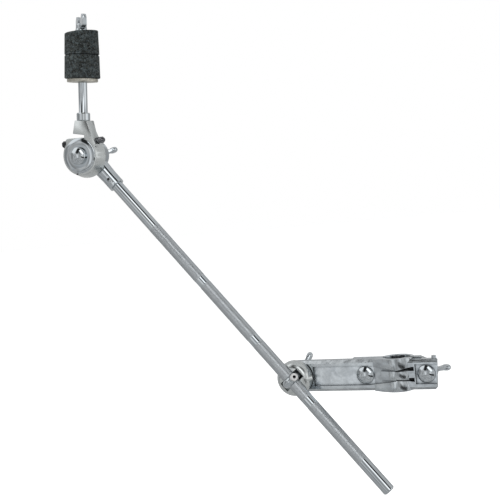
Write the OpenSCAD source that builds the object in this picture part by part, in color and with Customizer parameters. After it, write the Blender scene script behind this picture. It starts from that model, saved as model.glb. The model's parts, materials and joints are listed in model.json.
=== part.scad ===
// Boom arm for a cymbal: a jaw clamp for an upright stand tube, a swivelling
// boom holder, a knurled boom rod and a tilter that carries the cymbal post.
// Millimetres, +Z up. The origin is the centre of the clamped stand tube,
// +X runs to the clamp's free end and +Y runs to its rear, nut side.

/* [Stand clamp] */
// Diameter of the stand tube that the jaws hold
tube_d = 28.6; // [22:0.1:32]
// Wall of the jaws where they bend round the tube
jaw_wall = 4.5; // [3:0.1:7]
// Height of the clamp's arms
jaw_h = 32.4; // [26:0.2:40]
// Height of the jaws where they bend round the tube
bulge_h = 33.6; // [33:0.2:42]
// Distance from the tube's centre to the casting's front face
jaw_front = 13; // [12:0.5:15]
// Thickness of the casting's arms
jaw_t = 9; // [8:0.5:10]
// Height of the casting's free end
end_h = 30.8; // [26:0.2:32]
// Gap between the two jaws
jaw_gap = 1.2; // [0.8:0.1:1.8]
// Thickness of the rear jaw's arms
rear_jaw_t = 6; // [5:0.2:8]
// Distance from the tube's centre to each jaw bolt
bolt_reach = 31.4; // [28:0.2:36]
// Distance from a jaw bolt to the casting's free end
end_reach = 12.2; // [11.5:0.1:16]
// Distance from a jaw bolt to the rear jaw's left end
rear_jaw_tail = 14.6; // [12:0.2:20]
// Depth of the channel in the casting's front face
channel_depth = 2.2; // [1:0.1:3]
// Height of the channel in the casting's front face
channel_h = 20.4; // [18.4:0.1:22]
// Height of the middle rib between the two side slots
rib_h = 7.6; // [6:0.1:9]
// Height of each side slot where it is widest
slot_h = 4.4; // [3:0.1:5]
// Height of the small ear on top of the free end
ear_h = 2.9; // [1.5:0.1:4]
// Diameter of the small ear on top of the free end
ear_d = 5.4; // [4:0.1:7]

/* [Boom holder] */
// Distance from the stand tube's centre to the holder's swivel axis
holder_reach = 105.6; // [95:0.2:130]
// Radius of the casting's lug under the holder
lug_r = 16; // [13:0.5:18]
// Radius of the saddle's rim
saddle_r = 18.4; // [17.5:0.1:22]
// Thickness of the saddle's rim
saddle_rim_t = 5.4; // [4.5:0.1:7]
// Radius that rounds the saddle's front
saddle_round = 8; // [6:0.1:9]
// Thickness of the friction washer behind the saddle
friction_washer_t = 1.5; // [1:0.1:3]
// Width of the eye along the rod
eye_w = 9.6; // [8:0.1:12]
// Wall of the eye round the rod
eye_wall = 3.4; // [2.6:0.1:4]
// Diameter of the eye's locking screw
eye_screw_d = 7.8; // [6:0.1:9]
// Turn of the eye's locking screw round the rod, from straight ahead
eye_screw_turn = 46; // [30:1:60]
// Diameter of the relief pocket in the saddle's flank
relief_d = 7.4; // [5:0.1:9]

/* [Boom rod] */
// Diameter of the boom rod
rod_d = 12.7; // [11:0.1:14]
// Distance from the holder's swivel axis to the tilter's axis
boom_reach = 327.5; // [250:0.5:420]
// Length of rod beyond the holder, on the short side
boom_tail = 147.8; // [90:0.2:220]
// Slope of the boom below the horizontal
boom_slope = 51; // [30:0.1:70]
// Distance from the tilter's axis down to the rod's centre line
rod_offset = 1.1; // [0:0.1:3]
// Length of each knurled band
knurl_len = 74.6; // [50:0.2:90]
// Length of each smooth gap between knurled bands
knurl_gap = 9.3; // [6:0.1:14]
// Number of knurled bands
knurl_bands = 4; // [2:1:4]
// Plain polished length between the rod's free end and the first band
plain_end = 40.7; // [30:0.1:60]
// Depth of the smooth gaps below the knurled surface
gap_depth = 0.12; // [0.05:0.01:0.3]
// Chamfer on the rod's free end
rod_chamfer = 1.4; // [0.6:0.1:2.5]

/* [Tilter] */
// Radius of the split ring at its rear
ring_r = 24.2; // [23:0.1:27]
// Radius of the split ring's front face
ring_face_r = 20.6; // [20:0.1:22.5]
// Thickness of the split ring
ring_t = 14; // [11:0.5:16]
// Radius of the boss that the split ring grips
boss_r = 11; // [9:0.1:11.4]
// Radius of the tilter casting's hub
hub_r = 16.4; // [15.5:0.1:18.5]
// Thickness of the tilter casting's hub
hub_t = 19.6; // [19:0.2:24]
// Outer diameter of the rod sleeve
sleeve_d = 17; // [16:0.1:18]
// Distance from the tilter's axis to the end of the sleeve
sleeve_end = 45; // [40:0.5:56]
// Distance from the tilter's axis to the rod's inner end
rod_seat = 18.3; // [16:0.1:22]
// Diameter of the sleeve's grub screw
grub_d = 3; // [2.5:0.1:4]
// Distance from the sleeve's end to its grub screw
grub_inset = 9.2; // [6:0.1:12]
// Turn of the grub screw round the rod, from straight ahead
grub_turn = 6; // [-20:1:30]
// Radius of the friction disc
disc_r = 18.9; // [16:0.1:20.5]
// Thickness of the friction disc
disc_t = 2.2; // [1.6:0.1:3]
// Diameter of the pivot bolt's head
pivot_head_d = 19; // [17.5:0.1:20]
// Height of the pivot bolt's head
pivot_head_h = 6.8; // [5:0.1:8]
// Width of the saw cut that splits the ring
split_w = 2.2; // [1.6:0.1:3]
// Height of the slit under the neck where it ends
slit_h = 2.6; // [2:0.1:3.2]
// Width of the neck at its top
neck_w = 14.6; // [14.5:0.1:18]
// Height of the neck's top above the tilter's axis
neck_top = 37.7; // [35:0.1:44]
// Diameter of the brake screw's shank
brake_d = 5; // [4:0.1:5]
// Diameter of the brake screw's head
brake_head_d = 7; // [6:0.1:8]
// Diameter of the brake screw's nut over its corners
brake_nut_d = 7.8; // [7:0.1:9]
// Lean of the cymbal post away from upright
post_lean = 6.3; // [0:0.1:20]

/* [Cymbal seat] */
// Diameter of the cymbal post
post_d = 9.5; // [9:0.1:12]
// Diameter of the collar at the post's foot
collar_d = 14.5; // [13:0.1:18]
// Height of the collar at the post's foot
collar_h = 8.3; // [6:0.1:12]
// Bare length of post between the collar and the seat washer
post_bare = 32.6; // [22:0.1:45]
// Diameter of the seat washer
seat_washer_d = 33; // [26:0.5:37]
// Thickness of the seat washer
seat_washer_t = 3.4; // [1.5:0.1:5]
// Diameter of the felts
felt_d = 38.6; // [34:0.1:46]
// Thickness of each felt
felt_t = 24.9; // [12:0.1:28]
// Rounding of the felts' edges
felt_round = 2.4; // [1:0.1:4]
// Wall of the plastic sleeve on the post
sleeve_wall = 1.8; // [1.2:0.1:2.4]

/* [Fasteners] */
// Diameter of the threaded shanks
thread_d = 8; // [7:0.1:8.4]
// Diameter of the domed bolt heads
dome_d = 17.8; // [16:0.1:18]
// Height of the domed bolt heads
dome_h = 4.8; // [4:0.1:6]
// Depth of the square neck under a domed head
square_h = 4; // [3:0.1:5]
// Distance from a wing nut's axis to the tip of its wing
wing_reach = 19; // [16:0.1:21]
// Height of a wing nut
wing_h = 18.6; // [16:0.1:22]
// Distance from the holder's wing nut's axis to the tip of its wing
holder_wing_reach = 25; // [20:0.1:28]
// Height of the holder's wing nut
holder_wing_h = 21; // [19:0.1:24]
// Height of the top wing nut
top_wing_h = 16.8; // [15:0.1:20]
// Thickness of the wings
wing_t = 5.2; // [3.5:0.1:6]
// Radius of the rounded wing ends
wing_round = 5.4; // [4:0.1:7]
// Height of a wing nut's hub
nut_hub_h = 9.5; // [8:0.1:12]
// Radius of a wing nut's hub
nut_hub_r = 6.6; // [6:0.1:8]
// Diameter of the washers under the wing nuts
washer_d = 18; // [16:0.1:22]
// Thickness of the washers under the wing nuts
washer_t = 1.6; // [1:0.1:2.5]
// Travel of the rear jaw that the jaw bolts leave
jaw_travel = 10; // [6:0.5:16]
// Length of thread that stands out of a tightened wing nut
thread_out = 3; // [2:0.5:8]

/* [Hidden] */
$fn = 64;
running = 0.05;         // radial clearance of a shaft that turns in its hole
bolt_play = 0.06;       // radial clearance of a bolt in a casting
moving_gap = 0.3;       // clearance between curved faces that move apart
face_gap = 0.05;        // clearance between flat faces that turn on each other
cut = 0.1;              // how far a cut runs past a face
thread_r = thread_d / 2;
rod_r = rod_d / 2;
tube_r = tube_d / 2;
bulge_r = tube_r + jaw_wall;

// Stand clamp, Y of its faces: the parting gap lies in front of the tube's centre
jaw_back = jaw_t - jaw_front;
rear_front = jaw_back + jaw_gap;
rear_back = rear_front + rear_jaw_t;
channel_floor = jaw_front - channel_depth;
end_x = bolt_reach + end_reach;
rear_left_x = -bolt_reach - rear_jaw_tail;
edge_bevel = 3;                          // bevel on the casting's front edges
bevel_depth = 2.6;
channel_left_x = -holder_reach + lug_r + 3;
channel_margin = dome_d / 2 + 2;         // channel beyond a bolt's axis
nose_h = 18;                             // height of the rear jaw's narrow nose
nose_start_x = bolt_reach - 7.4;         // where the rear jaw starts to narrow
nose_x = bolt_reach + 8;                 // where the rear jaw ends
end_flat = 3;                            // straight part of the casting's end face
end_slant = 4.4;                         // how far the rest of it slants inwards
end_drop = 0.7;                          // how much lower the free end lies
end_lean = 2.8;                          // how far the end face leans in at its foot
end_corner = 1.6;                        // bevel on the end's lower corner
end_top = end_h / 2 - end_drop;
end_foot = -end_h / 2 - end_drop;
rear_bulge_h = jaw_h - 2.2;              // height of the rear jaw where it bends
ramp_x = -bolt_reach + dome_d / 2 + moving_gap;   // where the ramp up to the bulge starts
ramp_edge = 12;                          // where the ramp reaches the bulge's full height
taper_x = ramp_x - 5;                    // where the channel starts to narrow
crest_x = 2;                             // where the channel ends on the bulge
crest_h = 11.4;                          // the channel's height there
pad_x = -14;                             // left end of the raised pad in the channel
pad_h = 8.8;                             // height of the raised pad
slot_left_x = 2;                         // where the side slots start
slot_left_h = 1.2;                       // their height there
slot_right_x = bolt_reach - dome_d / 2 - 3;   // where the side slots end
slot_floor = 7;                          // the side slots' floor, in front of y = 0
ear_x = end_x - ear_d / 2 - 1.2;
ear_y = jaw_back - ear_d / 2 - 0.4;

// Boom holder
holder_x = -holder_reach;
saddle_back = jaw_front + friction_washer_t + face_gap;
saddle_rim_front = saddle_back + saddle_rim_t;
saddle_front = saddle_rim_front + saddle_round;
eye_r = rod_r + running + eye_wall;
rod_y = -(saddle_front + 2);             // boom rod's axis
eye_slot_w = eye_w + 1.2;
eye_slot_l = 2 * eye_r + 5.2;
eye_slot_floor = -rod_y - eye_r - 0.8;
eye_screw_h = 3;
eye_screw_stem_d = 5;
socket_d = 3.6;
relief_inset = 5;                        // relief pocket's place on the saddle's flank
relief_drop = 3.6;
relief_turn = 42;

// Boom rod
rod_start = -boom_reach + rod_seat;      // along the rod from the holder's axis
rod_len = boom_tail - rod_start;
tilter_x = holder_x - boom_reach * cos(boom_slope) + rod_offset * sin(boom_slope);
tilter_z = boom_reach * sin(boom_slope) + rod_offset * cos(boom_slope);
band_pitch = knurl_len + knurl_gap;

// Tilter, measured along Y from the rod's axis, forwards is negative
hub_front = -hub_t / 2 - 0.1;
hub_rear = hub_front + hub_t;
ring_rear = hub_front - moving_gap;
ring_front = ring_rear - ring_t;
boss_front = ring_front + 0.5;
disc_front = ring_front - disc_t;
disc_rim_t = 0.9;                        // thickness left at the disc's rim
disc_flat_r = pivot_head_d / 2 + 1;      // flat seat under the pivot bolt's head
pivot_rim = 1.4;                         // straight rim under the pivot bolt's dome
post_inset = 9.4;                        // post's axis behind the ring's front face
neck_rear_t = 4.6;                       // how far the neck overhangs the hub
neck_recess = 3;                         // how far the neck's front leans back at its top
neck_foot = 21;                          // where the neck's front starts to lean
neck_left = 8.6;
neck_right = 11.5;
hip_x = ring_r - 4.4;                    // where the neck's right side meets the ring
hip_z = 12.3;
post_y = ring_front + post_inset;
split_top = 19.6;                        // top of the ring's lug
split_x = 8;                             // right side of the saw cut
slit_drop = 1.2;                         // fall of the slit's lower face from left to right
slit_rise = 8.8;                         // rise of its upper face to the left
lug_left = ring_r - 8.8;                 // flat side of the ring's lug
lug_corner = 1.4;
brake_z = boss_r + brake_d / 2 + 0.8;
brake_y = (ring_front + ring_rear) / 2 + 1;
brake_seat_x = hip_x - 0.6;              // spot face under the head
brake_head_h = 8.6;                      // height of the brake screw's head
brake_head_edge = 1.8;                   // bevel on the head's rim
brake_nut_h = 8;
brake_out = brake_nut_h + 0.6;           // how far its tip stands out of the lug
spot_d = 12.4;                           // spot face under the brake nut
pin_hole_d = 1.8;                        // small blind hole at the rim of the ring's face
pin_hole_r = ring_face_r - 0.4;
pin_hole_turn = 197;
taper_start = 10;                        // where the sleeve's taper starts
taper_end = 32;                          // where it ends
taper_r = 1.2;                           // how much thicker the sleeve is at its start
sleeve_bore_start = rod_seat - 0.3;

// Cymbal seat, measured along the post from the tilter's axis
collar_top = neck_top + collar_h;
seat_bottom = collar_top + post_bare;
seat_top = seat_bottom + seat_washer_t;
felt_mid = seat_top + felt_t;
felt_top = felt_mid + felt_t;
tenon_h = 8;
cymbal_sleeve_r = thread_r + running + sleeve_wall;
stud_top = felt_top + nut_hub_h + thread_out;
nut_lift = 0.2;                          // the top nut just clears the felt

// Wing nut angles, turned from +X towards +Z, or round the post for the top nut
jaw_nut_left_turn = 4;
jaw_nut_right_turn = -2;
holder_nut_turn = 66;
tilter_nut_turn = 17;
top_nut_turn = -46;

// ---------------------------------------------------------------- placing

// Turns a shape's +Z to the rear, so that it stands on a vertical face.
module facing_rear() {
    rotate([-90, 0, 0]) children();
}

// Places children at the holder's swivel axis.
module at_holder() {
    translate([holder_x, 0, 0]) children();
}

// Places children on the rod: +Z runs down the rod, z = 0 at the holder.
module on_rod(z = 0) {
    translate([holder_x, rod_y, 0])
        rotate([0, 90 + boom_slope, 0])
            translate([0, 0, z]) children();
}

// Places children at the tilter's axis, on the rod's centre line.
module at_tilter() {
    translate([tilter_x, rod_y, tilter_z]) children();
}

// As at_tilter, with +Z along the cymbal post's direction.
module on_yoke() {
    at_tilter() rotate([0, post_lean, 0]) children();
}

// Places children on the cymbal post's centre line.
module on_post(z = 0) {
    on_yoke() translate([0, post_y, z]) children();
}

// ---------------------------------------------------------------- shared shapes

// Cylinder along Y from one depth to another.
module bar_y(radius, from, to) {
    translate([0, from, 0]) facing_rear() cylinder(r = radius, h = to - from);
}

// Flat block along Y, its outline drawn as [x, z] points.
module plate_y(points, from, to) {
    translate([0, to, 0]) rotate([90, 0, 0])
        linear_extrude(to - from) polygon(points);
}

// Round washer, its foot at z = 0.
module washer(diameter, thickness, hole_r) {
    difference() {
        cylinder(d = diameter, h = thickness);
        translate([0, 0, -cut]) cylinder(r = hole_r, h = thickness + 2 * cut);
    }
}

// Low dome with its base at z = 0 and its crown at z = -height.
module dome(diameter, height) {
    foot_r = diameter / 2;
    ball_r = (foot_r * foot_r + height * height) / (2 * height);
    intersection() {
        translate([0, 0, ball_r - height]) sphere(r = ball_r);
        translate([0, 0, -height - 1]) cylinder(r = foot_r, h = height + 1);
    }
}

// Domed bolt with a square neck, its head's underside at z = 0.
module carriage_bolt(length) {
    dome(dome_d, dome_h);
    translate([-thread_r, -thread_r, 0]) cube([thread_d, thread_d, square_h]);
    cylinder(r = thread_r, h = length);
}

// Square hole for a carriage bolt's neck.
module square_seat() {
    side = thread_d + 2 * bolt_play;
    translate([-side / 2, -side / 2, -cut]) cube([side, side, square_h + cut + face_gap]);
}

// One wing, its outline in the plane y = 0.
module wing(reach, height) {
    tip_x = reach - wing_round;
    tip_z = height - wing_round;
    root_x = nut_hub_r - 2;
    rotate([90, 0, 0]) translate([0, 0, -wing_t / 2]) {
        translate([tip_x, tip_z]) cylinder(r = wing_round, h = wing_t);
        linear_extrude(wing_t) polygon([
            [root_x, 1.2],
            [tip_x + 0.6 * wing_round, tip_z - 0.8 * wing_round],
            [tip_x - 0.8 * wing_round, tip_z + 0.6 * wing_round],
            [root_x, nut_hub_h - 0.6]
        ]);
    }
}

// Wing nut with its seat at z = 0.
module wing_nut(reach = wing_reach, height = wing_h) {
    difference() {
        union() {
            cylinder(r1 = nut_hub_r, r2 = nut_hub_r - 1, h = nut_hub_h);
            wing(reach, height);
            mirror([1, 0, 0]) wing(reach, height);
        }
        translate([0, 0, -cut])
            cylinder(r = thread_r + running, h = nut_hub_h + 2 * cut);
    }
}

// Felt with rounded edges, its foot at z = 0.
module felt() {
    rotate_extrude() difference() {
        union() {
            square([felt_d / 2 - felt_round, felt_t]);
            translate([0, felt_round]) square([felt_d / 2, felt_t - 2 * felt_round]);
            for (z = [felt_round, felt_t - felt_round])
                translate([felt_d / 2 - felt_round, z]) circle(r = felt_round);
        }
        translate([-cut, -cut]) square([cymbal_sleeve_r + running + cut, felt_t + 2 * cut]);
    }
}

// ---------------------------------------------------------------- stand clamp

// Section of the casting's arms, drawn as [y, z].
module arm_section(height) {
    half = height / 2;
    polygon([
        [-jaw_front, -half + edge_bevel], [-jaw_front, half - edge_bevel],
        [-jaw_front + bevel_depth, half], [jaw_back, half],
        [jaw_back, -half], [-jaw_front + bevel_depth, -half]
    ]);
}

// Straight arm from one side to the other along X.
module arm(height, from, to) {
    translate([from, 0, 0]) rotate([90, 0, 90])
        linear_extrude(to - from) arm_section(height);
}

// Body of the bulge: a ramp from the arm's face that runs onto a round wall.
module bulge(radius, face_y) {
    reach = norm([ramp_x, face_y]);
    turn = atan2(face_y, ramp_x) + acos(radius / reach);
    translate([0, 0, -bulge_h]) {
        cylinder(r = radius, h = 2 * bulge_h);
        linear_extrude(2 * bulge_h) polygon([
            [ramp_x, 0], [ramp_x, face_y], [radius * cos(turn), radius * sin(turn)], [0, 0]
        ]);
    }
}

// Front outline of the bulge, drawn as [x, z].
module bulge_outline() {
    half = bulge_h / 2;
    left = jaw_h / 2;
    plate_y([
        [ramp_x - cut, -left], [-ramp_edge, -half], [ramp_edge, -half], [bulge_r + 1, end_foot],
        [bulge_r + 1, end_top], [ramp_edge, half], [-ramp_edge, half], [ramp_x - cut, left]
    ], -bulge_r - 1, jaw_back);
}

// Sunken channel of the long arm: it follows the ramp, narrows and goes round the pad.
module long_channel() {
    half = channel_h / 2;
    difference() {
        plate_y([
            [channel_left_x, -half], [taper_x, -half], [crest_x, -crest_h / 2],
            [crest_x, -pad_h / 2], [pad_x, -pad_h / 2], [pad_x, pad_h / 2],
            [crest_x, pad_h / 2], [crest_x, crest_h / 2], [taper_x, half], [channel_left_x, half]
        ], -bulge_r - 1, -channel_floor + 1);
        bulge(bulge_r - channel_depth, -channel_floor);
        translate([channel_left_x - 1, -channel_floor, -channel_h])
            cube([ramp_x - channel_left_x + 1 + cut, channel_floor, 2 * channel_h]);
    }
}

// Sunken panel round the bolt near the free end.
module end_channel() {
    from = bolt_reach - channel_margin;
    translate([from, -jaw_front - cut, -channel_h / 2])
        cube([end_x + cut - from, channel_depth + cut, channel_h]);
}

// Wedge-shaped slot in the bulge's right flank, above the middle rib.
module side_slot() {
    foot = rib_h / 2;
    plate_y([
        [slot_left_x, foot], [slot_right_x, foot - 0.4],
        [slot_right_x, foot - 0.4 + slot_h], [slot_left_x, foot + slot_left_h]
    ], -bulge_r - 1, -slot_floor);
}

// Cuts that slant the rear of the casting's end face and lean its foot inwards.
module end_cut() {
    foot_x = end_x - end_lean;
    translate([0, 0, -end_h]) linear_extrude(2 * end_h) polygon([
        [end_x + 1, -jaw_front + end_flat], [end_x, -jaw_front + end_flat],
        [end_x - end_slant, jaw_back + cut], [end_x + 1, jaw_back + cut]
    ]);
    plate_y([
        [end_x, end_top], [end_x + 1, end_top], [end_x + 1, end_foot - 1],
        [foot_x - end_corner, end_foot - 1], [foot_x - end_corner, end_foot],
        [foot_x, end_foot + end_corner]
    ], -jaw_front - 1, jaw_back + 1);
}

module clamp_casting() {
    color("silver") difference() {
        union() {
            arm(jaw_h, holder_x, 0);
            translate([0, 0, -end_drop]) arm(end_h, -cut, end_x);
            at_holder() bar_y(lug_r, -jaw_front, jaw_back);
            intersection() {
                bulge(bulge_r, -jaw_front);
                bulge_outline();
            }
            translate([ear_x, ear_y, 0]) cylinder(d = ear_d, h = end_top + ear_h);
        }
        translate([0, 0, -bulge_h]) cylinder(r = tube_r, h = 2 * bulge_h);
        end_cut();
        long_channel();
        end_channel();
        side_slot();
        mirror([0, 0, 1]) side_slot();
        for (side = [-1, 1]) {
            translate([side * bolt_reach, -channel_floor, 0]) facing_rear() square_seat();
            translate([side * bolt_reach, 0, 0])
                bar_y(thread_r + bolt_play, -channel_floor - cut, jaw_back + cut);
        }
        at_holder() bar_y(thread_r + running, -jaw_front - cut, jaw_back + cut);
    }
}

module rear_jaw() {
    half = jaw_h / 2;
    color("silver") difference() {
        union() {
            plate_y([
                [rear_left_x, -half], [nose_start_x, -half], [nose_x, -nose_h / 2],
                [nose_x, nose_h / 2], [nose_start_x, half], [rear_left_x, half]
            ], rear_front, rear_back);
            intersection() {
                translate([0, 0, -rear_bulge_h / 2]) cylinder(r = bulge_r, h = rear_bulge_h);
                translate([-bulge_r, rear_front, -half]) cube([2 * bulge_r, 2 * bulge_r, jaw_h]);
            }
        }
        translate([0, 0, -bulge_h]) cylinder(r = tube_r, h = 2 * bulge_h);
        translate([-tube_r, rear_front - cut, -bulge_h])
            cube([tube_d, cut - rear_front, 2 * bulge_h]);
        for (side = [-1, 1])
            translate([side * bolt_reach, 0, 0])
                bar_y(thread_r + bolt_play, rear_front - cut, rear_back + cut);
    }
}

module jaw_bolt(side) {
    length = channel_floor + rear_back + washer_t + nut_hub_h + jaw_travel + thread_out;
    color("gainsboro") translate([side * bolt_reach, -channel_floor, 0])
        facing_rear() carriage_bolt(length);
}

module jaw_washer(side) {
    color("gray") translate([side * bolt_reach, rear_back, 0])
        facing_rear() washer(washer_d, washer_t, thread_r + bolt_play);
}

module jaw_nut(side, turn) {
    color("gainsboro") translate([side * bolt_reach, rear_back + washer_t + face_gap, 0])
        facing_rear() rotate([0, 0, -turn]) wing_nut();
}

module jaw_bolt_left() { jaw_bolt(-1); }
module jaw_bolt_right() { jaw_bolt(1); }
module jaw_washer_left() { jaw_washer(-1); }
module jaw_washer_right() { jaw_washer(1); }
module jaw_nut_left() { jaw_nut(-1, jaw_nut_left_turn); }
module jaw_nut_right() { jaw_nut(1, jaw_nut_right_turn); }

// ---------------------------------------------------------------- boom holder

module friction_washer() {
    color("dimgray") at_holder() translate([0, -jaw_front - friction_washer_t, 0])
        facing_rear() washer(2 * lug_r, friction_washer_t, thread_r + bolt_play);
}

// Saddle blank: a thick rim with a rounded front.
module saddle_blank() {
    crown_r = saddle_r - saddle_round;
    facing_rear() rotate_extrude() {
        translate([0, -saddle_front]) square([crown_r, saddle_front - saddle_back]);
        translate([0, -saddle_rim_front]) square([saddle_r, saddle_rim_t]);
        intersection() {
            translate([crown_r, -saddle_rim_front]) circle(r = saddle_round);
            translate([0, -saddle_front - 1]) square([saddle_r, saddle_round + 1]);
        }
    }
}

module saddle() {
    groove_r = rod_r + moving_gap;
    color("silver") difference() {
        at_holder() saddle_blank();
        on_rod(-2 * saddle_r) cylinder(r = groove_r, h = 4 * saddle_r);
        on_rod(-2 * saddle_r) translate([-groove_r, -2 * groove_r, 0])
            cube([2 * groove_r, 2 * groove_r, 4 * saddle_r]);
        on_rod(-eye_slot_w / 2)
            translate([-eye_slot_l / 2, -2 * eye_r, 0])
                cube([eye_slot_l, 2 * eye_r - rod_y - eye_slot_floor, eye_slot_w]);
        at_holder() bar_y(thread_r + bolt_play, -saddle_front, -saddle_back + cut);
        at_holder() translate([saddle_r - relief_inset, -saddle_rim_front - relief_drop, 0])
            rotate([0, 0, relief_turn]) rotate([0, 90, 0])
                cylinder(d = relief_d, h = saddle_r);
    }
}

// Places children on the eye's locking screw: +Z points out of the eye.
module at_eye_screw() {
    on_rod() rotate([0, 0, -90 - eye_screw_turn]) rotate([0, 90, 0]) children();
}

module eyebolt() {
    shank_end = jaw_back + washer_t + nut_hub_h + thread_out;
    color("silver") difference() {
        union() {
            on_rod() rotate_extrude() intersection() {
                translate([eye_r - eye_w / 2, 0]) circle(r = eye_w / 2);
                translate([rod_r, -eye_w]) square([eye_r, 2 * eye_w]);
            }
            at_holder() bar_y(thread_r, rod_y + rod_r + 1, shank_end);
            at_eye_screw() cylinder(d = eye_screw_d + 1.2, h = eye_r + 0.6);
        }
        on_rod(-eye_w) cylinder(r = rod_r + running, h = 2 * eye_w);
        at_eye_screw() cylinder(d = eye_screw_stem_d + 2 * running, h = 2 * eye_r);
    }
}

module eye_screw() {
    head_foot = eye_r + 0.6 + face_gap;
    color("gainsboro") at_eye_screw() difference() {
        union() {
            translate([0, 0, rod_r + 0.4]) cylinder(d = eye_screw_stem_d, h = head_foot - rod_r);
            translate([0, 0, head_foot]) cylinder(d = eye_screw_d, h = eye_screw_h);
        }
        translate([0, 0, head_foot + 0.6]) cylinder(d = socket_d, h = eye_screw_h, $fn = 6);
    }
}

module holder_washer() {
    color("gray") at_holder() translate([0, jaw_back, 0])
        facing_rear() washer(washer_d, washer_t, thread_r + bolt_play);
}

module holder_nut() {
    color("gainsboro") at_holder() translate([0, jaw_back + washer_t + face_gap, 0])
        facing_rear() rotate([0, 0, -holder_nut_turn])
            wing_nut(holder_wing_reach, holder_wing_h);
}

// ---------------------------------------------------------------- boom rod

// Smooth gap between two knurled bands, counted from the rod's free end.
module rod_gap(band) {
    from = boom_tail - plain_end - band * band_pitch;
    on_rod(from) difference() {
        cylinder(r = rod_r + 1, h = knurl_gap);
        translate([0, 0, -cut]) cylinder(r = rod_r - gap_depth, h = knurl_gap + 2 * cut);
    }
}

module boom_rod() {
    color("gainsboro") difference() {
        union() {
            on_rod(rod_start) cylinder(r = rod_r, h = rod_len - rod_chamfer);
            on_rod(boom_tail - rod_chamfer)
                cylinder(r1 = rod_r, r2 = rod_r - rod_chamfer, h = rod_chamfer);
        }
        for (band = [1 : knurl_bands - 1]) rod_gap(band);
    }
}

// ---------------------------------------------------------------- tilter

module tilter_casting() {
    color("silver") difference() {
        union() {
            at_tilter() bar_y(hub_r, hub_front, hub_rear);
            at_tilter() bar_y(boss_r, boss_front, hub_front);
            on_rod(-boom_reach) cylinder(d = sleeve_d, h = sleeve_end);
            on_rod(-boom_reach + taper_start)
                cylinder(r1 = sleeve_d / 2 + taper_r, r2 = sleeve_d / 2, h = taper_end - taper_start);
        }
        on_rod(-boom_reach + sleeve_bore_start)
            cylinder(r = rod_r + running, h = sleeve_end);
        at_tilter() bar_y(thread_r + running, boss_front - cut, hub_rear + cut);
        at_tilter() bar_y(washer_d / 2 + 1, hub_rear, hub_rear + sleeve_d);
        at_grub() cylinder(d = grub_d + 2 * running, h = sleeve_d);
    }
}

// Places children on the sleeve's grub screw: +Z points out of the sleeve.
module at_grub() {
    on_rod(-boom_reach + sleeve_end - grub_inset)
        rotate([0, 0, -90 - grub_turn]) rotate([0, 90, 0]) children();
}

module sleeve_screw() {
    tip = rod_r + 0.1;
    color("black") at_grub() translate([0, 0, tip])
        cylinder(d = grub_d, h = sleeve_d / 2 - tip - 0.3);
}

module tilter_washer() {
    color("gray") at_tilter() translate([0, hub_rear, 0])
        facing_rear() washer(washer_d, washer_t, thread_r + bolt_play);
}

// Neck and hip of the yoke, drawn as [x, z] in the post's frame.
neck_points = [
    [-neck_w / 2, neck_top], [-neck_left, split_top + 1],
    [split_x - 3, split_top + 1], [split_x - 3, boss_r + 1],
    [ring_face_r - 4, boss_r - 1], [hip_x, hip_z], [neck_w / 2, neck_top]
];
// The part of the neck that overhangs the hub, drawn as [x, z] in the post's frame.
overhang_points = [
    [-neck_w / 2, neck_top], [-neck_left, split_top + 1],
    [neck_right, neck_foot], [neck_w / 2, neck_top]
];
// Lug at the split ring's upper left, drawn as [x, z].
lug_points = [
    [-lug_left, boss_r - 2], [-lug_left, split_top - lug_corner],
    [-lug_left + lug_corner, split_top], [0, split_top + 1], [0, boss_r + 1]
];
// Slit between the lug and the neck, drawn as [x, z].
slit_points = [
    [-ring_r - 1, split_top + 0.4], [-lug_left, split_top + 0.4],
    [split_x, split_top + 0.4 - slit_drop],
    [split_x, split_top + 0.4 - slit_drop + slit_h], [-ring_r - 1, split_top + slit_rise]
];

// Slanted cut that leans the neck's front back.
module neck_cut() {
    lean = atan(neck_recess / (neck_top - neck_foot));
    translate([0, ring_front, neck_foot]) rotate([-lean, 0, 0])
        translate([-ring_r, -ring_t, 0]) cube([2 * ring_r, ring_t, 2 * neck_top]);
}

// Places children on the brake screw: +Z points to its head.
module at_brake(x = 0) {
    at_tilter() translate([x, brake_y, brake_z]) rotate([0, 90, 0]) children();
}

module tilter_yoke() {
    color("silver") difference() {
        union() {
            at_tilter() translate([0, ring_front, 0]) facing_rear()
                cylinder(r1 = ring_face_r, r2 = ring_r, h = ring_t);
            at_tilter() plate_y(lug_points, ring_front, ring_rear);
            on_yoke() difference() {
                union() {
                    plate_y(neck_points, ring_front, ring_rear);
                    plate_y(overhang_points, ring_front, ring_rear + neck_rear_t);
                }
                neck_cut();
            }
        }
        at_tilter() bar_y(boss_r + running, ring_front - cut, ring_rear + cut);
        at_tilter() plate_y(slit_points, ring_front - 1, ring_rear + neck_rear_t + 1);
        at_tilter() translate([split_x - split_w, ring_front - 1, 0])
            cube([split_w, ring_t + 2, split_top]);
        at_brake(-ring_r - 1) cylinder(d = brake_d + 2 * running, h = 2 * ring_r + 2);
        at_brake(brake_seat_x) cylinder(d = brake_head_d + 2 * moving_gap, h = ring_r);
        at_brake(-2 * lug_left) cylinder(d = spot_d, h = lug_left);
        at_tilter() rotate([0, pin_hole_turn, 0]) translate([0, ring_front - cut, pin_hole_r])
            facing_rear() cylinder(d = pin_hole_d, h = 4);
        on_post(neck_top - tenon_h) cylinder(r = thread_r + bolt_play, h = tenon_h + cut);
    }
}

module friction_disc() {
    color("gainsboro") on_yoke() translate([0, disc_front, 0]) facing_rear() difference() {
        union() {
            cylinder(r1 = disc_flat_r, r2 = disc_r, h = disc_t - disc_rim_t);
            translate([0, 0, disc_t - disc_rim_t])
                cylinder(r = disc_r, h = disc_rim_t - face_gap);
        }
        translate([0, 0, -cut]) cylinder(r = thread_r + bolt_play, h = disc_t + 2 * cut);
    }
}

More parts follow.
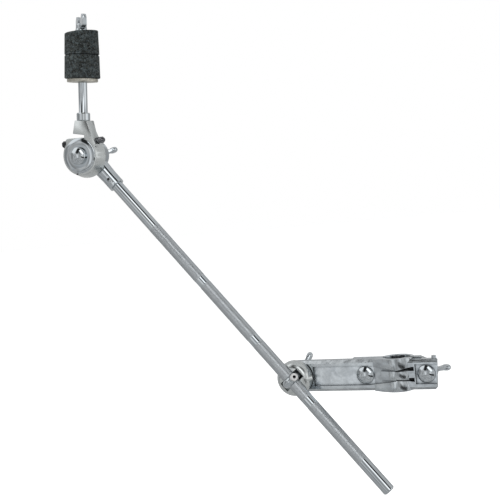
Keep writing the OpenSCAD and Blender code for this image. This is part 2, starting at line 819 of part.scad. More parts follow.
module pivot_bolt() {
    length = hub_rear + washer_t + nut_hub_h + thread_out - disc_front;
    color("gainsboro") on_yoke() translate([0, disc_front, 0]) facing_rear() {
        translate([0, 0, -pivot_rim]) dome(pivot_head_d, pivot_head_h - pivot_rim);
        translate([0, 0, -pivot_rim]) cylinder(d = pivot_head_d, h = pivot_rim);
        cylinder(r = thread_r, h = length);
    }
}

module brake_screw() {
    tip_x = -lug_left - brake_out;
    head_x = brake_seat_x + face_gap;
    rim = brake_head_h - brake_head_edge;
    color("dimgray") {
        at_brake(tip_x) cylinder(d = brake_d, h = head_x - tip_x);
        at_brake(head_x) cylinder(d = brake_head_d, h = rim);
        at_brake(head_x + rim)
            cylinder(d1 = brake_head_d, d2 = brake_head_d - 3, h = brake_head_edge);
    }
}

module brake_nut() {
    color("black") at_brake(-lug_left - brake_nut_h) difference() {
        cylinder(d = brake_nut_d, h = brake_nut_h, $fn = 6);
        translate([0, 0, -cut]) cylinder(d = brake_d + 2 * running, h = brake_nut_h + 2 * cut);
    }
}

module tilter_nut() {
    color("gainsboro") at_tilter() translate([0, hub_rear + washer_t + face_gap, 0])
        facing_rear() rotate([0, 0, -tilter_nut_turn]) wing_nut();
}

// ---------------------------------------------------------------- cymbal seat

module cymbal_post() {
    color("gainsboro") {
        on_post(neck_top - tenon_h) cylinder(r = thread_r, h = tenon_h);
        on_post(neck_top) cylinder(d = collar_d, h = collar_h - 1);
        on_post(collar_top - 1) cylinder(d1 = collar_d, d2 = collar_d - 2, h = 1);
        on_post(collar_top) cylinder(d = post_d, h = post_bare);
        on_post(seat_bottom) cylinder(r = thread_r, h = stud_top - seat_bottom);
    }
}

module seat_washer() {
    color("gray") on_post(seat_bottom)
        washer(seat_washer_d, seat_washer_t, thread_r + bolt_play);
}

module cymbal_sleeve() {
    color("black") on_post(seat_top) difference() {
        cylinder(r = cymbal_sleeve_r, h = 2 * felt_t - 2);
        translate([0, 0, -cut]) cylinder(r = thread_r + running, h = 2 * felt_t);
    }
}

module lower_felt() {
    color("darkslategray") on_post(seat_top) felt();
}

module upper_felt() {
    color("darkslategray") on_post(felt_mid) felt();
}

module top_nut() {
    color("gainsboro") on_post(felt_top + nut_lift)
        rotate([0, 0, top_nut_turn]) wing_nut(wing_reach, top_wing_h);
}

clamp_casting();
rear_jaw();
jaw_bolt_left();
jaw_bolt_right();
jaw_washer_left();
jaw_washer_right();
jaw_nut_left();
jaw_nut_right();
friction_washer();
saddle();
eyebolt();
eye_screw();
holder_washer();
holder_nut();
boom_rod();
tilter_casting();
sleeve_screw();
tilter_washer();
tilter_yoke();
friction_disc();
pivot_bolt();
brake_screw();
brake_nut();
tilter_nut();
cymbal_post();
seat_washer();
cymbal_sleeve();
lower_felt();
upper_felt();
top_nut();
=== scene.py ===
"""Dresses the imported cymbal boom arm: knurled chrome, cast chrome, felts, light and camera.

Lengths are metres in the model's own frame: +X to the clamp's free end, +Y to the nut side, +Z up.
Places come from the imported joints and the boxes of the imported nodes.
"""

from __future__ import annotations

import json
import logging
import math
import random
from dataclasses import dataclass
from enum import Enum
from typing import Any, Callable, Optional, Sequence, Union

import bmesh
import bpy
import numpy as np
from mathutils import Matrix, Vector


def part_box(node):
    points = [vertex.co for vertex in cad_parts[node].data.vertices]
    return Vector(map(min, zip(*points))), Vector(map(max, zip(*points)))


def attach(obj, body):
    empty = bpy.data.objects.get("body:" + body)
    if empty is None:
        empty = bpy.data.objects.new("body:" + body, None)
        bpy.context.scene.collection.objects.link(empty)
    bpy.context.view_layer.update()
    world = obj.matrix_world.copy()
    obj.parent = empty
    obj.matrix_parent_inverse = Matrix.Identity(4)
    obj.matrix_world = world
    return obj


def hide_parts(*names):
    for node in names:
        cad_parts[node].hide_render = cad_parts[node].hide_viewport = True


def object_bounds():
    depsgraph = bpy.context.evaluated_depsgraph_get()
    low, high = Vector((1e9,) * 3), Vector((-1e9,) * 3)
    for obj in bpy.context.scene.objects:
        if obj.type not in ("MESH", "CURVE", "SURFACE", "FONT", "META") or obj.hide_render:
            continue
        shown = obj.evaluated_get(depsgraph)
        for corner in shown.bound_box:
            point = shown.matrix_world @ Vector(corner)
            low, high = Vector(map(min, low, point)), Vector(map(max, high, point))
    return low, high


LOG = logging.getLogger("boom_arm")
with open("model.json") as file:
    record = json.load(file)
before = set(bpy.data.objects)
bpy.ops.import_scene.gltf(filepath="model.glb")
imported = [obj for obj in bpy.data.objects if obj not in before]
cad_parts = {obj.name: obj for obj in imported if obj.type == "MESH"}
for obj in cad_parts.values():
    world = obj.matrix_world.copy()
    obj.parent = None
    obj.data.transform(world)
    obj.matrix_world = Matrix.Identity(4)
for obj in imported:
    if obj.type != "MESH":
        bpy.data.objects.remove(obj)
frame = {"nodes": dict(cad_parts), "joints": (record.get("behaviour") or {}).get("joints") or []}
CAD_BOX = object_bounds()
WELD = 0.000002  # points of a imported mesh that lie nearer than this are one
CREASE = math.radians(32)  # edges bent more than this are rounded
HAIR = 0.0002  # smallest chamfer, gap or tolerance
THREAD_DEPTH = 0.0006
WHITE = (1.0, 1.0, 1.0, 1.0)

Colour = tuple[float, float, float]
Point = tuple[float, float, float]
Face = tuple[int, ...]
Inputs = dict[Union[int, str], Any]


# ------------------------------------------------------------------ shader graph


def _operator(operation: str, swapped: bool = False) -> Callable[[Value, Number], Value]:
    """A method of Value that adds one Math node.

    Args:
        operation: Operation of the node.
        swapped: Takes the other number first.

    Returns:
        The method.
    """

    def method(self: Value, other: Number) -> Value:
        """Adds the node and wraps its result."""
        first, second = (other, self) if swapped else (self, other)
        return self.graph.value("ShaderNodeMath", 0, {0: first, 1: second}, operation=operation)

    return method


class Value:
    """A number or colour socket of a shader graph, with Python operators for numbers."""

    def __init__(self, graph: Graph, socket: bpy.types.NodeSocket) -> None:
        """Wraps one output socket of a graph."""
        self.graph = graph
        self.socket = socket

    __add__, __radd__ = _operator("ADD"), _operator("ADD", swapped=True)
    __sub__, __rsub__ = _operator("SUBTRACT"), _operator("SUBTRACT", swapped=True)
    __mul__, __rmul__ = _operator("MULTIPLY"), _operator("MULTIPLY", swapped=True)
    __truediv__, __rtruediv__ = _operator("DIVIDE"), _operator("DIVIDE", swapped=True)
    at_least = _operator("MAXIMUM")


Number = Union[float, Value]


class Graph:
    """A node tree under construction."""

    def __init__(self, tree: bpy.types.NodeTree) -> None:
        """Empties the tree of a material or a world."""
        self.tree = tree
        tree.nodes.clear()

    def node(self, kind: str, inputs: Optional[Inputs] = None, **settings: Any) -> bpy.types.Node:
        """Adds any node.

        Args:
            kind: Node type, such as "ShaderNodeMath".
            inputs: Value or link of each socket, by name or number.
            **settings: Properties of the node.

        Returns:
            The new node.
        """
        made = self.tree.nodes.new(kind)
        for name, setting in settings.items():
            setattr(made, name, setting)
        for key, given in (inputs or {}).items():
            link = given.socket if isinstance(given, Value) else given
            if isinstance(link, bpy.types.NodeSocket):
                self.tree.links.new(link, made.inputs[key])
            else:
                made.inputs[key].default_value = link
        return made

    def value(
        self, kind: str, output: Union[int, str], inputs: Optional[Inputs] = None, **settings: Any
    ) -> Value:
        """Adds a node and wraps one of its outputs."""
        return Value(self, self.node(kind, inputs, **settings).outputs[output])

    def show(self, shader: bpy.types.Node, kind: str = "Material") -> None:
        """Ends the tree of a material, or of a world, with a shader."""
        self.node(f"ShaderNodeOutput{kind}", {"Surface": shader.outputs[0]})

    def place(self) -> Value:
        """Object-space coordinates, in metres."""
        return self.value("ShaderNodeTexCoord", "Object")

    def noise(
        self,
        scale: float,
        detail: float = 3.0,
        rough: float = 0.55,
        twist: float = 0.0,
        place: Optional[Value] = None,
    ) -> Value:
        """Noise from 0 to 1.

        Args:
            scale: Cells per metre.
            detail: Octaves.
            rough: Strength of the finer octaves.
            twist: Distortion of the pattern.
            place: Coordinates, or None for the object's own.

        Returns:
            The noise as a number.
        """
        inputs = {"Vector": place or self.place(), "Scale": scale, "Detail": detail}
        inputs |= {"Roughness": rough, "Distortion": twist}
        return self.value("ShaderNodeTexNoise", "Fac", inputs)

    def spread(self, source: Value, low: float, high: float) -> Value:
        """Stretches a number so that low becomes 0 and high becomes 1, clamped."""
        inputs = {"Value": source, "From Min": low, "From Max": high}
        return self.value("ShaderNodeMapRange", "Result", inputs)

    def spots(self, low: float, high: float, *noise: float) -> Value:
        """Noise stretched so that low becomes 0 and high becomes 1."""
        return self.spread(self.noise(*noise), low, high)

    def mix(self, factor: Number, first: Any, second: Any) -> Value:
        """Mixes two colours, given as links or as red, green and blue."""
        pair = [(*c, 1.0) if isinstance(c, tuple) and len(c) == 3 else c for c in (first, second)]
        inputs = {0: factor, 6: pair[0], 7: pair[1]}
        return self.value("ShaderNodeMix", 2, inputs, data_type="RGBA")

    def seams(self, distance: float) -> Value:
        """How shut in a place is: 0 out in the open, more down in seams and corners.

        Args:
            distance: How far a wall still shades its neighbour.

        Returns:
            The shade.
        """
        made = self.value("ShaderNodeAmbientOcclusion", "AO", {"Distance": distance}, samples=6)
        return 1.0 - made

    def bump(self, height: Value, strength: float, distance: float) -> Value:
        """Turns a height from 0 to 1 into a normal.

        Args:
            height: The height.
            strength: Share of the effect.
            distance: Real height of 1.

        Returns:
            The bent normal.
        """
        inputs = {"Strength": strength, "Distance": distance, "Height": height}
        return self.value("ShaderNodeBump", "Normal", inputs)


def new_material(name: str) -> tuple[bpy.types.Material, Graph]:
    """A new material and its empty graph."""
    material = bpy.data.materials.new(name)
    material.use_nodes = True
    return material, Graph(material.node_tree)


# ------------------------------------------------------------------ finishes


class Finish:
    """Base of the finishes: makes a material once and hands it out again."""

    made: dict[str, bpy.types.Material] = {}

    def material(self, name: str) -> bpy.types.Material:
        """The material of this finish, built on first use.

        Args:
            name: Name of the material.

        Returns:
            The material.
        """
        if name not in Finish.made:
            Finish.made[name], graph = new_material(name)
            graph.show(graph.node("ShaderNodeBsdfPrincipled", self.inputs(graph)))
        return Finish.made[name]

    def inputs(self, graph: Graph) -> Inputs:
        """Values and links of the shader's sockets."""
        raise NotImplementedError


@dataclass(frozen=True)
class Chrome(Finish):
    """Chrome plate: bright, faintly clouded, with a soft ripple where it covers a casting.

    Attributes:
        tint: Colour of the clean plate.
        cloud: Colour of its cloudy patches.
        roughness: Blur of its reflections.
        haze: Extra blur where it was wiped.
        ripple: Height of the ripple.
        ripple_scale: Waves of the ripple per metre.
        grain: Height of the fine grain of the casting under the plate.
        patch: How much its broad patches differ in brightness, from 0 to 1.
        shade_reach: How far painted shade spreads out of its seams and corners, or 0 for none.
        shade_tint: Colour of that painted shade.
    """

    tint: Colour = (0.575, 0.610, 0.632)
    cloud: Colour = (0.48, 0.515, 0.542)
    roughness: float = 0.07
    haze: float = 0.10
    ripple: float = 0.00006
    ripple_scale: float = 180.0
    grain: float = 0.0
    patch: float = 0.0
    shade_reach: float = 0.0
    shade_tint: Colour = (0.06, 0.068, 0.074)

    def inputs(self, graph: Graph) -> Inputs:
        """Values and links of the shader's sockets."""
        cloud = graph.spots(0.42, 0.66, 70.0, 4.0, 0.6)
        smear = graph.spots(0.5, 0.78, 420.0, 3.0, 0.6, 0.6)
        wipe = graph.spots(0.55, 0.8, 1500.0, 2.0, 0.5)
        relief = graph.noise(self.ripple_scale, 2.0, 0.45)
        if self.grain > 0:
            relief = relief + graph.noise(1300.0, 3.0, 0.6) * (self.grain / self.ripple)
        plate = graph.mix(cloud * 0.6 + smear * 0.2, self.tint, self.cloud)
        if self.patch > 0:
            broad = graph.spots(0.40, 0.60, 95.0, 2.0, 0.5, 0.9)
            plate = graph.mix(broad * self.patch, plate, tuple(tone * 0.62 for tone in self.cloud))
        # Painted shade: ambient occlusion darkens the plate in seams and corners.
        if self.shade_reach > 0:
            corner_shade = graph.spread(graph.seams(self.shade_reach), 0.12, 0.55)
            plate = graph.mix(corner_shade * 0.85, plate, self.shade_tint)
        return {
            "Base Color": plate,
            "Metallic": 1.0,
            "Roughness": smear * self.haze * 0.6 + wipe * self.haze * 0.4 + self.roughness,
            "Normal": graph.bump(relief, 1.0, self.ripple),
        }


@dataclass(frozen=True)
class Knurl(Finish):
    """Knurled chrome, darkened with painted shade in the cuts between the diamonds."""

    crest: Colour = (0.64, 0.67, 0.69)
    valley_shade: Colour = (0.34, 0.36, 0.38)
    roughness: float = 0.27

    def inputs(self, graph: Graph) -> Inputs:
        """Values and links of the shader's sockets."""
        depth = graph.value("ShaderNodeAttribute", "Fac", attribute_name="depth")
        smear = graph.spots(0.4, 0.75, 260.0, 4.0, 0.6)
        return {
            # Painted shade: the colour darkens with the depth of the cut.
            "Base Color": graph.mix(depth * 0.85 + smear * 0.12, self.crest, self.valley_shade),
            "Metallic": 1.0,
            "Roughness": depth * 0.22 + smear * 0.08 + self.roughness,
            "Normal": graph.bump(graph.noise(2600.0, 2.0, 0.5), 0.35, 0.00004),
        }


@dataclass(frozen=True)
class Plated(Finish):
    """Bright zinc plate with fine rolling lines."""

    tint: Colour = (0.56, 0.56, 0.55)
    dull: Colour = (0.42, 0.42, 0.42)
    roughness: float = 0.24

    def inputs(self, graph: Graph) -> Inputs:
        """Values and links of the shader's sockets."""
        cloud = graph.spots(0.35, 0.7, 240.0, 4.0, 0.6, 0.8)
        return {
            "Base Color": graph.mix(cloud, self.tint, self.dull),
            "Metallic": 1.0,
            "Roughness": cloud * 0.12 + self.roughness,
            "Normal": graph.bump(graph.noise(3200.0, 2.0, 0.6), 0.4, 0.00003),
        }


@dataclass(frozen=True)
class Dull(Finish):
    """Dark plain finish: black oxide, fibre or plastic, told apart by gloss and grain; also painted
    shade in hollows and holes.
    """

    tint: Colour = (0.03, 0.03, 0.032)
    worn: Colour = (0.09, 0.09, 0.09)
    roughness: float = 0.5
    metallic: float = 0.0
    grain_scale: float = 1800.0
    grain_height: float = 0.00006

    def inputs(self, graph: Graph) -> Inputs:
        """Values and links of the shader's sockets."""
        grain = graph.noise(self.grain_scale, 4.0, 0.6)
        wear = graph.spots(0.5, 0.8, self.grain_scale * 0.2, 4.0, 0.65)
        return {
            "Base Color": graph.mix(wear * 0.8, self.tint, self.worn),
            "Metallic": self.metallic,
            "Roughness": wear * 0.15 + self.roughness,
            "Normal": graph.bump(grain, 0.6, self.grain_height),
        }


@dataclass(frozen=True)
class WoolFelt(Finish):
    """Pressed charcoal wool: matted fibres, pale hairs and lint."""

    dark: Colour = (0.0008, 0.0014, 0.0018)
    light: Colour = (0.080, 0.101, 0.108)
    hair: Colour = (0.50, 0.53, 0.47)

    def inputs(self, graph: Graph) -> Inputs:
        """Values and links of the shader's sockets."""
        mat = graph.spots(0.42, 0.62, 480.0, 6.0, 0.72, 0.25)
        clump = graph.spots(0.40, 0.62, 210.0, 5.0, 0.7, 0.2)
        strand = graph.spots(0.56, 0.64, 950.0, 3.0, 0.6, 3.5)
        blend = graph.spread(mat * 0.7 + clump * 0.3, 0.26, 0.80)
        body = graph.mix(blend, self.dark, self.light)
        height = mat * 0.5 + strand * 0.3 + graph.noise(3800.0, 3.0, 0.7, 2.0) * 0.2
        return {
            "Base Color": graph.mix(strand * 0.55, body, self.hair),
            "Roughness": 1.0,
            "Specular IOR Level": 0.12,
            "Sheen Weight": 0.06,
            "Sheen Roughness": 0.6,
            "Normal": graph.bump(height, 0.9, 0.0007),
        }


class Look(Enum):
    """The finishes of the boom arm: material name, record slot and finish."""

    # Cast chrome, with painted shade in its seams and corners.
    CASTING = (
        "cast_chrome",
        "chrome_casting",
        Chrome(roughness=0.15, ripple=0.00020, ripple_scale=115.0, patch=0.38, shade_reach=0.0030),
    )
    # A brighter copy of the cast chrome, as painted light on the channel floor, with painted shade
    # in its seams and corners.
    FLOOR = (
        "channel_chrome",
        "chrome_casting",
        Chrome(
            (0.70, 0.745, 0.775), (0.54, 0.575, 0.61), 0.17, 0.08, 0.00016, 130.0, 0.0, 0.42, 0.0034
        ),
    )
    # Dark finish on the clamp's tube pocket and slots: painted shade.
    HOLLOW_SHADE = (
        "painted_hollow_shade",
        "chrome_casting",
        Dull((0.05, 0.053, 0.058), (0.10, 0.10, 0.11), 0.5, 0.9, 900.0),
    )
    SATIN = (
        "satin_chrome",
        "chrome_casting",
        Chrome((0.64, 0.665, 0.66), (0.58, 0.605, 0.60), 0.24, 0.06, 0.00010, 110.0, 0.000002),
    )
    NUT = ("nut_chrome", "chrome_casting", Chrome(roughness=0.09))
    SLEEVE = (
        "sleeve_chrome",
        "chrome_casting",
        Chrome(roughness=0.10, haze=0.04, ripple=0.00003),
    )
    STEEL = (
        "steel_chrome",
        "chrome_steel",
        Chrome(roughness=0.045, haze=0.06, ripple=0.00001),
    )
    TOOL = (
        "tool_steel",
        "chrome_steel",
        Chrome((0.24, 0.245, 0.255), (0.12, 0.12, 0.13), 0.09, 0.06, 0.00001),
    )
    ROD = ("rod_chrome", "knurled_steel", Chrome(roughness=0.05, haze=0.05, ripple=0.00001))
    KNURL = ("knurled_chrome", "knurled_steel", Knurl())
    ZINC = ("zinc_plate", "zinc_steel", Plated())
    SCREW = (
        "bright_screw",
        "chrome_steel",
        Plated((0.90, 0.90, 0.89), (0.80, 0.80, 0.80), 0.62),
    )
    PASSIVATED = (
        "yellow_zinc",
        "zinc_steel",
        Plated((0.62, 0.60, 0.53), (0.46, 0.44, 0.39), 0.38),
    )
    # Black oxide of the dark screws and nut, and also painted shade in the eye screw's socket, the
    # sleeve's screw hole and the ring's pin hole.
    BLACK_AND_HOLE_SHADE = ("black_oxide_and_hole_shade", "black_steel", Dull(roughness=0.35, metallic=0.6))
    FIBRE = ("friction_fibre", "fibre", Dull((0.035, 0.035, 0.038), (0.1, 0.1, 0.1), 0.8))
    TUBE = ("black_tube", "black_plastic", Dull((0.012, 0.012, 0.013), (0.03, 0.03, 0.03), 0.22))
    FELT = ("pressed_felt", "felt", WoolFelt())

    def material(self) -> bpy.types.Material:
        """The material of this look."""
        return self.value[2].material(self.value[0])

    @property
    def slot(self) -> str:
        """The record's material slot."""
        return self.value[1]


# ------------------------------------------------------------------ places and meshes


@dataclass(frozen=True)
class Axis:
    """A point and a direction, with a side direction at right angles."""

    point: Vector
    along: Vector
    side: Vector

    @staticmethod
    def of(
        point: Sequence[float], along: Sequence[float], side: Sequence[float] = (1.0, 0.0, 0.0)
    ) -> Axis:
        """An axis through a point.

        Args:
            point: A point on the axis.
            along: Its direction.
            side: Rough direction of its local X.

        Returns:
            The axis, its directions at right angles and of unit length.
        """
        ahead = Vector(along).normalized()
        across = Vector(side) - ahead * ahead.dot(Vector(side))
        return Axis(Vector(point), ahead, across.normalized())

    def matrix(self) -> Matrix:
        """The matrix that puts local Z on the axis and local X on its side."""
        return placed(self.point, self.side, self.along.cross(self.side), self.along)

    def moved(self, distance: float) -> Axis:
        """The same axis, its point moved along it."""
        return Axis(self.point + self.along * distance, self.along, self.side)

    def turned(self, degrees: float) -> Axis:
        """The same axis, its side turned round it."""
        turn = math.radians(degrees)
        side = self.matrix().to_3x3() @ Vector((math.cos(turn), math.sin(turn), 0.0))
        return Axis.of(self.point, self.along, side)

    def measure(self, point: Vector) -> tuple[float, float]:
        """A point's height along the axis and its distance from it."""
        off = point - self.point
        height = off.dot(self.along)
        return height, (off - self.along * height).length


def placed(point: Vector, *directions: Vector) -> Matrix:
    """The matrix that puts local X, Y and Z on three directions from a point."""
    return Matrix.Translation(point) @ Matrix(directions).transposed().to_4x4()


def joint_axis(name: str, side: Sequence[float] = (1.0, 0.0, 0.0)) -> Axis:
    """The axis of a packed hinge."""
    found = next(joint for joint in frame["joints"] if joint["name"] == name)
    return Axis.of(found["pos_m"], found["axis"], side)


def span(node: str, axis: Axis) -> tuple[float, float]:
    """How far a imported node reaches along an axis, from the axis's point.

    Args:
        node: Name of the node.
        axis: The axis to measure along.

    Returns:
        The lowest and the highest distance.
    """
    heights = [axis.measure(v.co)[0] for v in frame["nodes"][node].data.vertices]
    return min(heights), max(heights)


def reach(piece: bpy.types.Object, axis: Axis) -> float:
    """How far a piece reaches away from an axis."""
    return max((v.co - axis.point).cross(axis.along).length for v in piece.data.vertices)


def nut_axis(joint_name: str, node: str, level: float) -> Axis:
    """The seat of a rear wing nut, its wings turned from +X towards +Z.

    Args:
        joint_name: Joint that the nut spins on.
        node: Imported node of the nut.
        level: Turn of the wings, in degrees.

    Returns:
        The axis, its point on the nut's seat.
    """
    turn = math.radians(level)
    axis = joint_axis(joint_name, (math.cos(turn), 0.0, math.sin(turn)))
    return axis.moved(span(node, axis)[0])


def add_object(name: str, data: Any) -> bpy.types.Object:
    """Adds an object for a mesh, a lamp or a camera to the scene."""
    made = bpy.data.objects.new(name, data)
    bpy.context.collection.objects.link(made)
    return made


def new_object(
    name: str, points: Sequence[Point], faces: Sequence[Face], axis: Axis, look: Look
) -> bpy.types.Object:
    """Makes a mesh object with its vertices already in the model's frame.

    Args:
        name: Name of the piece.
        points: Points in local coordinates.
        faces: Faces as lists of point numbers.
        axis: Where local Z lies.
        look: Finish of the piece.

    Returns:
        The new object, shaded smooth.
    """
    mesh = bpy.data.meshes.new(name)
    mesh.from_pydata(points, [], faces)
    mesh.transform(axis.matrix())
    mesh.update()
    mesh.shade_smooth()
    mesh.materials.append(look.material())
    return add_object(name, mesh)


def tube_faces(rows: int, columns: int) -> list[Face]:
    """Faces of a tube of point rings that run up local Z, both ends closed.

    Args:
        rows: Number of rings.
        columns: Points in each ring.

    Returns:
        The faces, outward.
    """
    faces: list[Face] = []
    for low in range(0, (rows - 1) * columns, columns):
        high = low + columns
        for k in range(columns):
            after = (k + 1) % columns
            faces.append((low + k, low + after, high + after, high + k))
    faces.append(tuple(reversed(range(columns))))
    faces.append(tuple(range((rows - 1) * columns, rows * columns)))
    return faces


def ring(radius: float, height: float, columns: int) -> list[Point]:
    """Points of one ring round local Z."""
    turns = [2 * math.pi * k / columns for k in range(columns)]
    return [(radius * math.cos(t), radius * math.sin(t), height) for t in turns]


def arc(
    centre: tuple[float, float], radius: float, start: float, end: float, steps: int
) -> list[tuple[float, float]]:
    """Points of an arc in a profile's plane, its angles in degrees."""
    cx, cy = centre
    angles = [math.radians(start + (end - start) * k / steps) for k in range(steps + 1)]
    return [(cx + radius * math.cos(a), cy + radius * math.sin(a)) for a in angles]


def lathe(
    name: str,
    profile: Sequence[tuple[float, float]],
    axis: Axis,
    look: Look,
    columns: int = 72,
    closed: bool = False,
) -> bpy.types.Object:
    """Turns a profile of (radius, height) points round an axis.

    Args:
        name: Name of the piece.
        profile: Points from the foot to the top; a radius of 0 closes an end.
        axis: Where local Z lies.
        look: Finish.
        columns: Points in each ring.
        closed: Joins the last point to the first, for a ring with a hole.

    Returns:
        The turned piece.
    """
    points: list[Point] = []
    rings: list[range] = []
    for radius, height in profile:
        count = columns if radius > 1e-9 else 1
        rings.append(range(len(points), len(points) + count))
        points += ring(radius, height, count)
    faces: list[Face] = []
    for low, high in zip(rings, rings[1:] + rings[: 1 if closed else 0]):
        for k in range(columns if len(low) + len(high) > 2 else 0):
            n = (k + 1) % columns
            corners = low[k % len(low)], low[n % len(low)], high[n % len(high)], high[k % len(high)]
            faces.append(tuple(dict.fromkeys(corners)))
    return new_object(name, points, faces, axis, look)


def sharp_edges(piece: bpy.types.Object, degrees: float) -> bpy.types.Object:
    """Keeps a piece's creases sharp and the rest smooth."""
    piece.data.set_sharp_from_angle(angle=math.radians(degrees))
    return piece


def dress(node: str, look: Look, edge: float = 0.0) -> None:
    """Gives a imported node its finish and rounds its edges.

    Args:
        node: Name of the node.
        look: Finish.
        edge: Width of the rounding, or 0 for none.
    """
    piece = frame["nodes"][node]
    piece.data.materials.clear()
    piece.data.materials.append(look.material())
    if edge > 0:
        piece.modifiers.new("weld", "WELD").merge_threshold = WELD
        bevel = piece.modifiers.new("edge", "BEVEL")
        bevel.width = edge
        bevel.segments = 3
        bevel.limit_method = "ANGLE"
        bevel.angle_limit = CREASE
        bevel.miter_outer = "MITER_ARC"
    LOG.info("dressed %s", node)


def paint_faces(node: str, look: Look, picks: Callable[[bpy.types.MeshPolygon], bool]) -> None:
    """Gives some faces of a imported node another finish.

    Args:
        node: Name of the node.
        look: The other finish.
        picks: Tells whether a face takes it.
    """
    mesh = frame["nodes"][node].data
    mesh.materials.append(look.material())
    for face in mesh.polygons:
        if picks(face):
            face.material_index = len(mesh.materials) - 1


def settle(piece: bpy.types.Object, body: str, look: Look, node: str) -> bpy.types.Object:
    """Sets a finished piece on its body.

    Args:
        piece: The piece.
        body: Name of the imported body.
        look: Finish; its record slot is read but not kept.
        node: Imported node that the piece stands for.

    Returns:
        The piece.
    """
    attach(piece, body)
    look.slot
    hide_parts(node)
    LOG.info("made %s on %s", piece.name, body)
    return piece


def apply_modifiers(piece: bpy.types.Object) -> None:
    """Bakes a piece's modifiers into its mesh."""
    graph = bpy.context.evaluated_depsgraph_get()
    mesh = bpy.data.meshes.new_from_object(piece.evaluated_get(graph))
    piece.modifiers.clear()
    old = piece.data
    piece.data = mesh
    bpy.data.meshes.remove(old)


def join_meshes(name: str, parts: Sequence[bpy.types.Object]) -> bpy.types.Object:
    """Joins several mesh objects into the first and renames it.

    Args:
        name: Name of the result.
        parts: Objects that share one frame.

    Returns:
        The joined object.
    """
    joined = bmesh.new()
    for part in parts:
        joined.from_mesh(part.data)
    keep = parts[0]
    for part in parts[1:]:
        bpy.data.objects.remove(part)
    joined.to_mesh(keep.data)
    joined.free()
    keep.name = name
    keep.data.name = name
    return keep


def threaded(
    name: str, axis: Axis, radius: float, ends: tuple[float, float], pitch: float
) -> bpy.types.Object:
    """Makes a closed threaded rod.

    Args:
        name: Name of the piece.
        axis: Where local Z lies.
        radius: Outer radius.
        ends: Heights of the lower and the upper end.
        pitch: Pitch of the thread.

    Returns:
        The rod.
    """
    columns = 24
    start, end = ends
    rows = max(4, int((end - start) / pitch * 5))
    points: list[Point] = []
    for row in range(rows + 1):
        height = start + (end - start) * row / rows
        fade = min(1.0, row / 4, (rows - row) / 4)
        for k in range(columns):
            turn = 2 * math.pi * k / columns
            cut = 1 - abs(2 * ((height / pitch - k / columns) % 1.0) - 1)
            r = radius - THREAD_DEPTH * (cut * fade + (1 - fade))
            points.append((r * math.cos(turn), r * math.sin(turn), height))
    return new_object(name, points, tube_faces(rows + 1, columns), axis, Look.STEEL)


# ------------------------------------------------------------------ fasteners


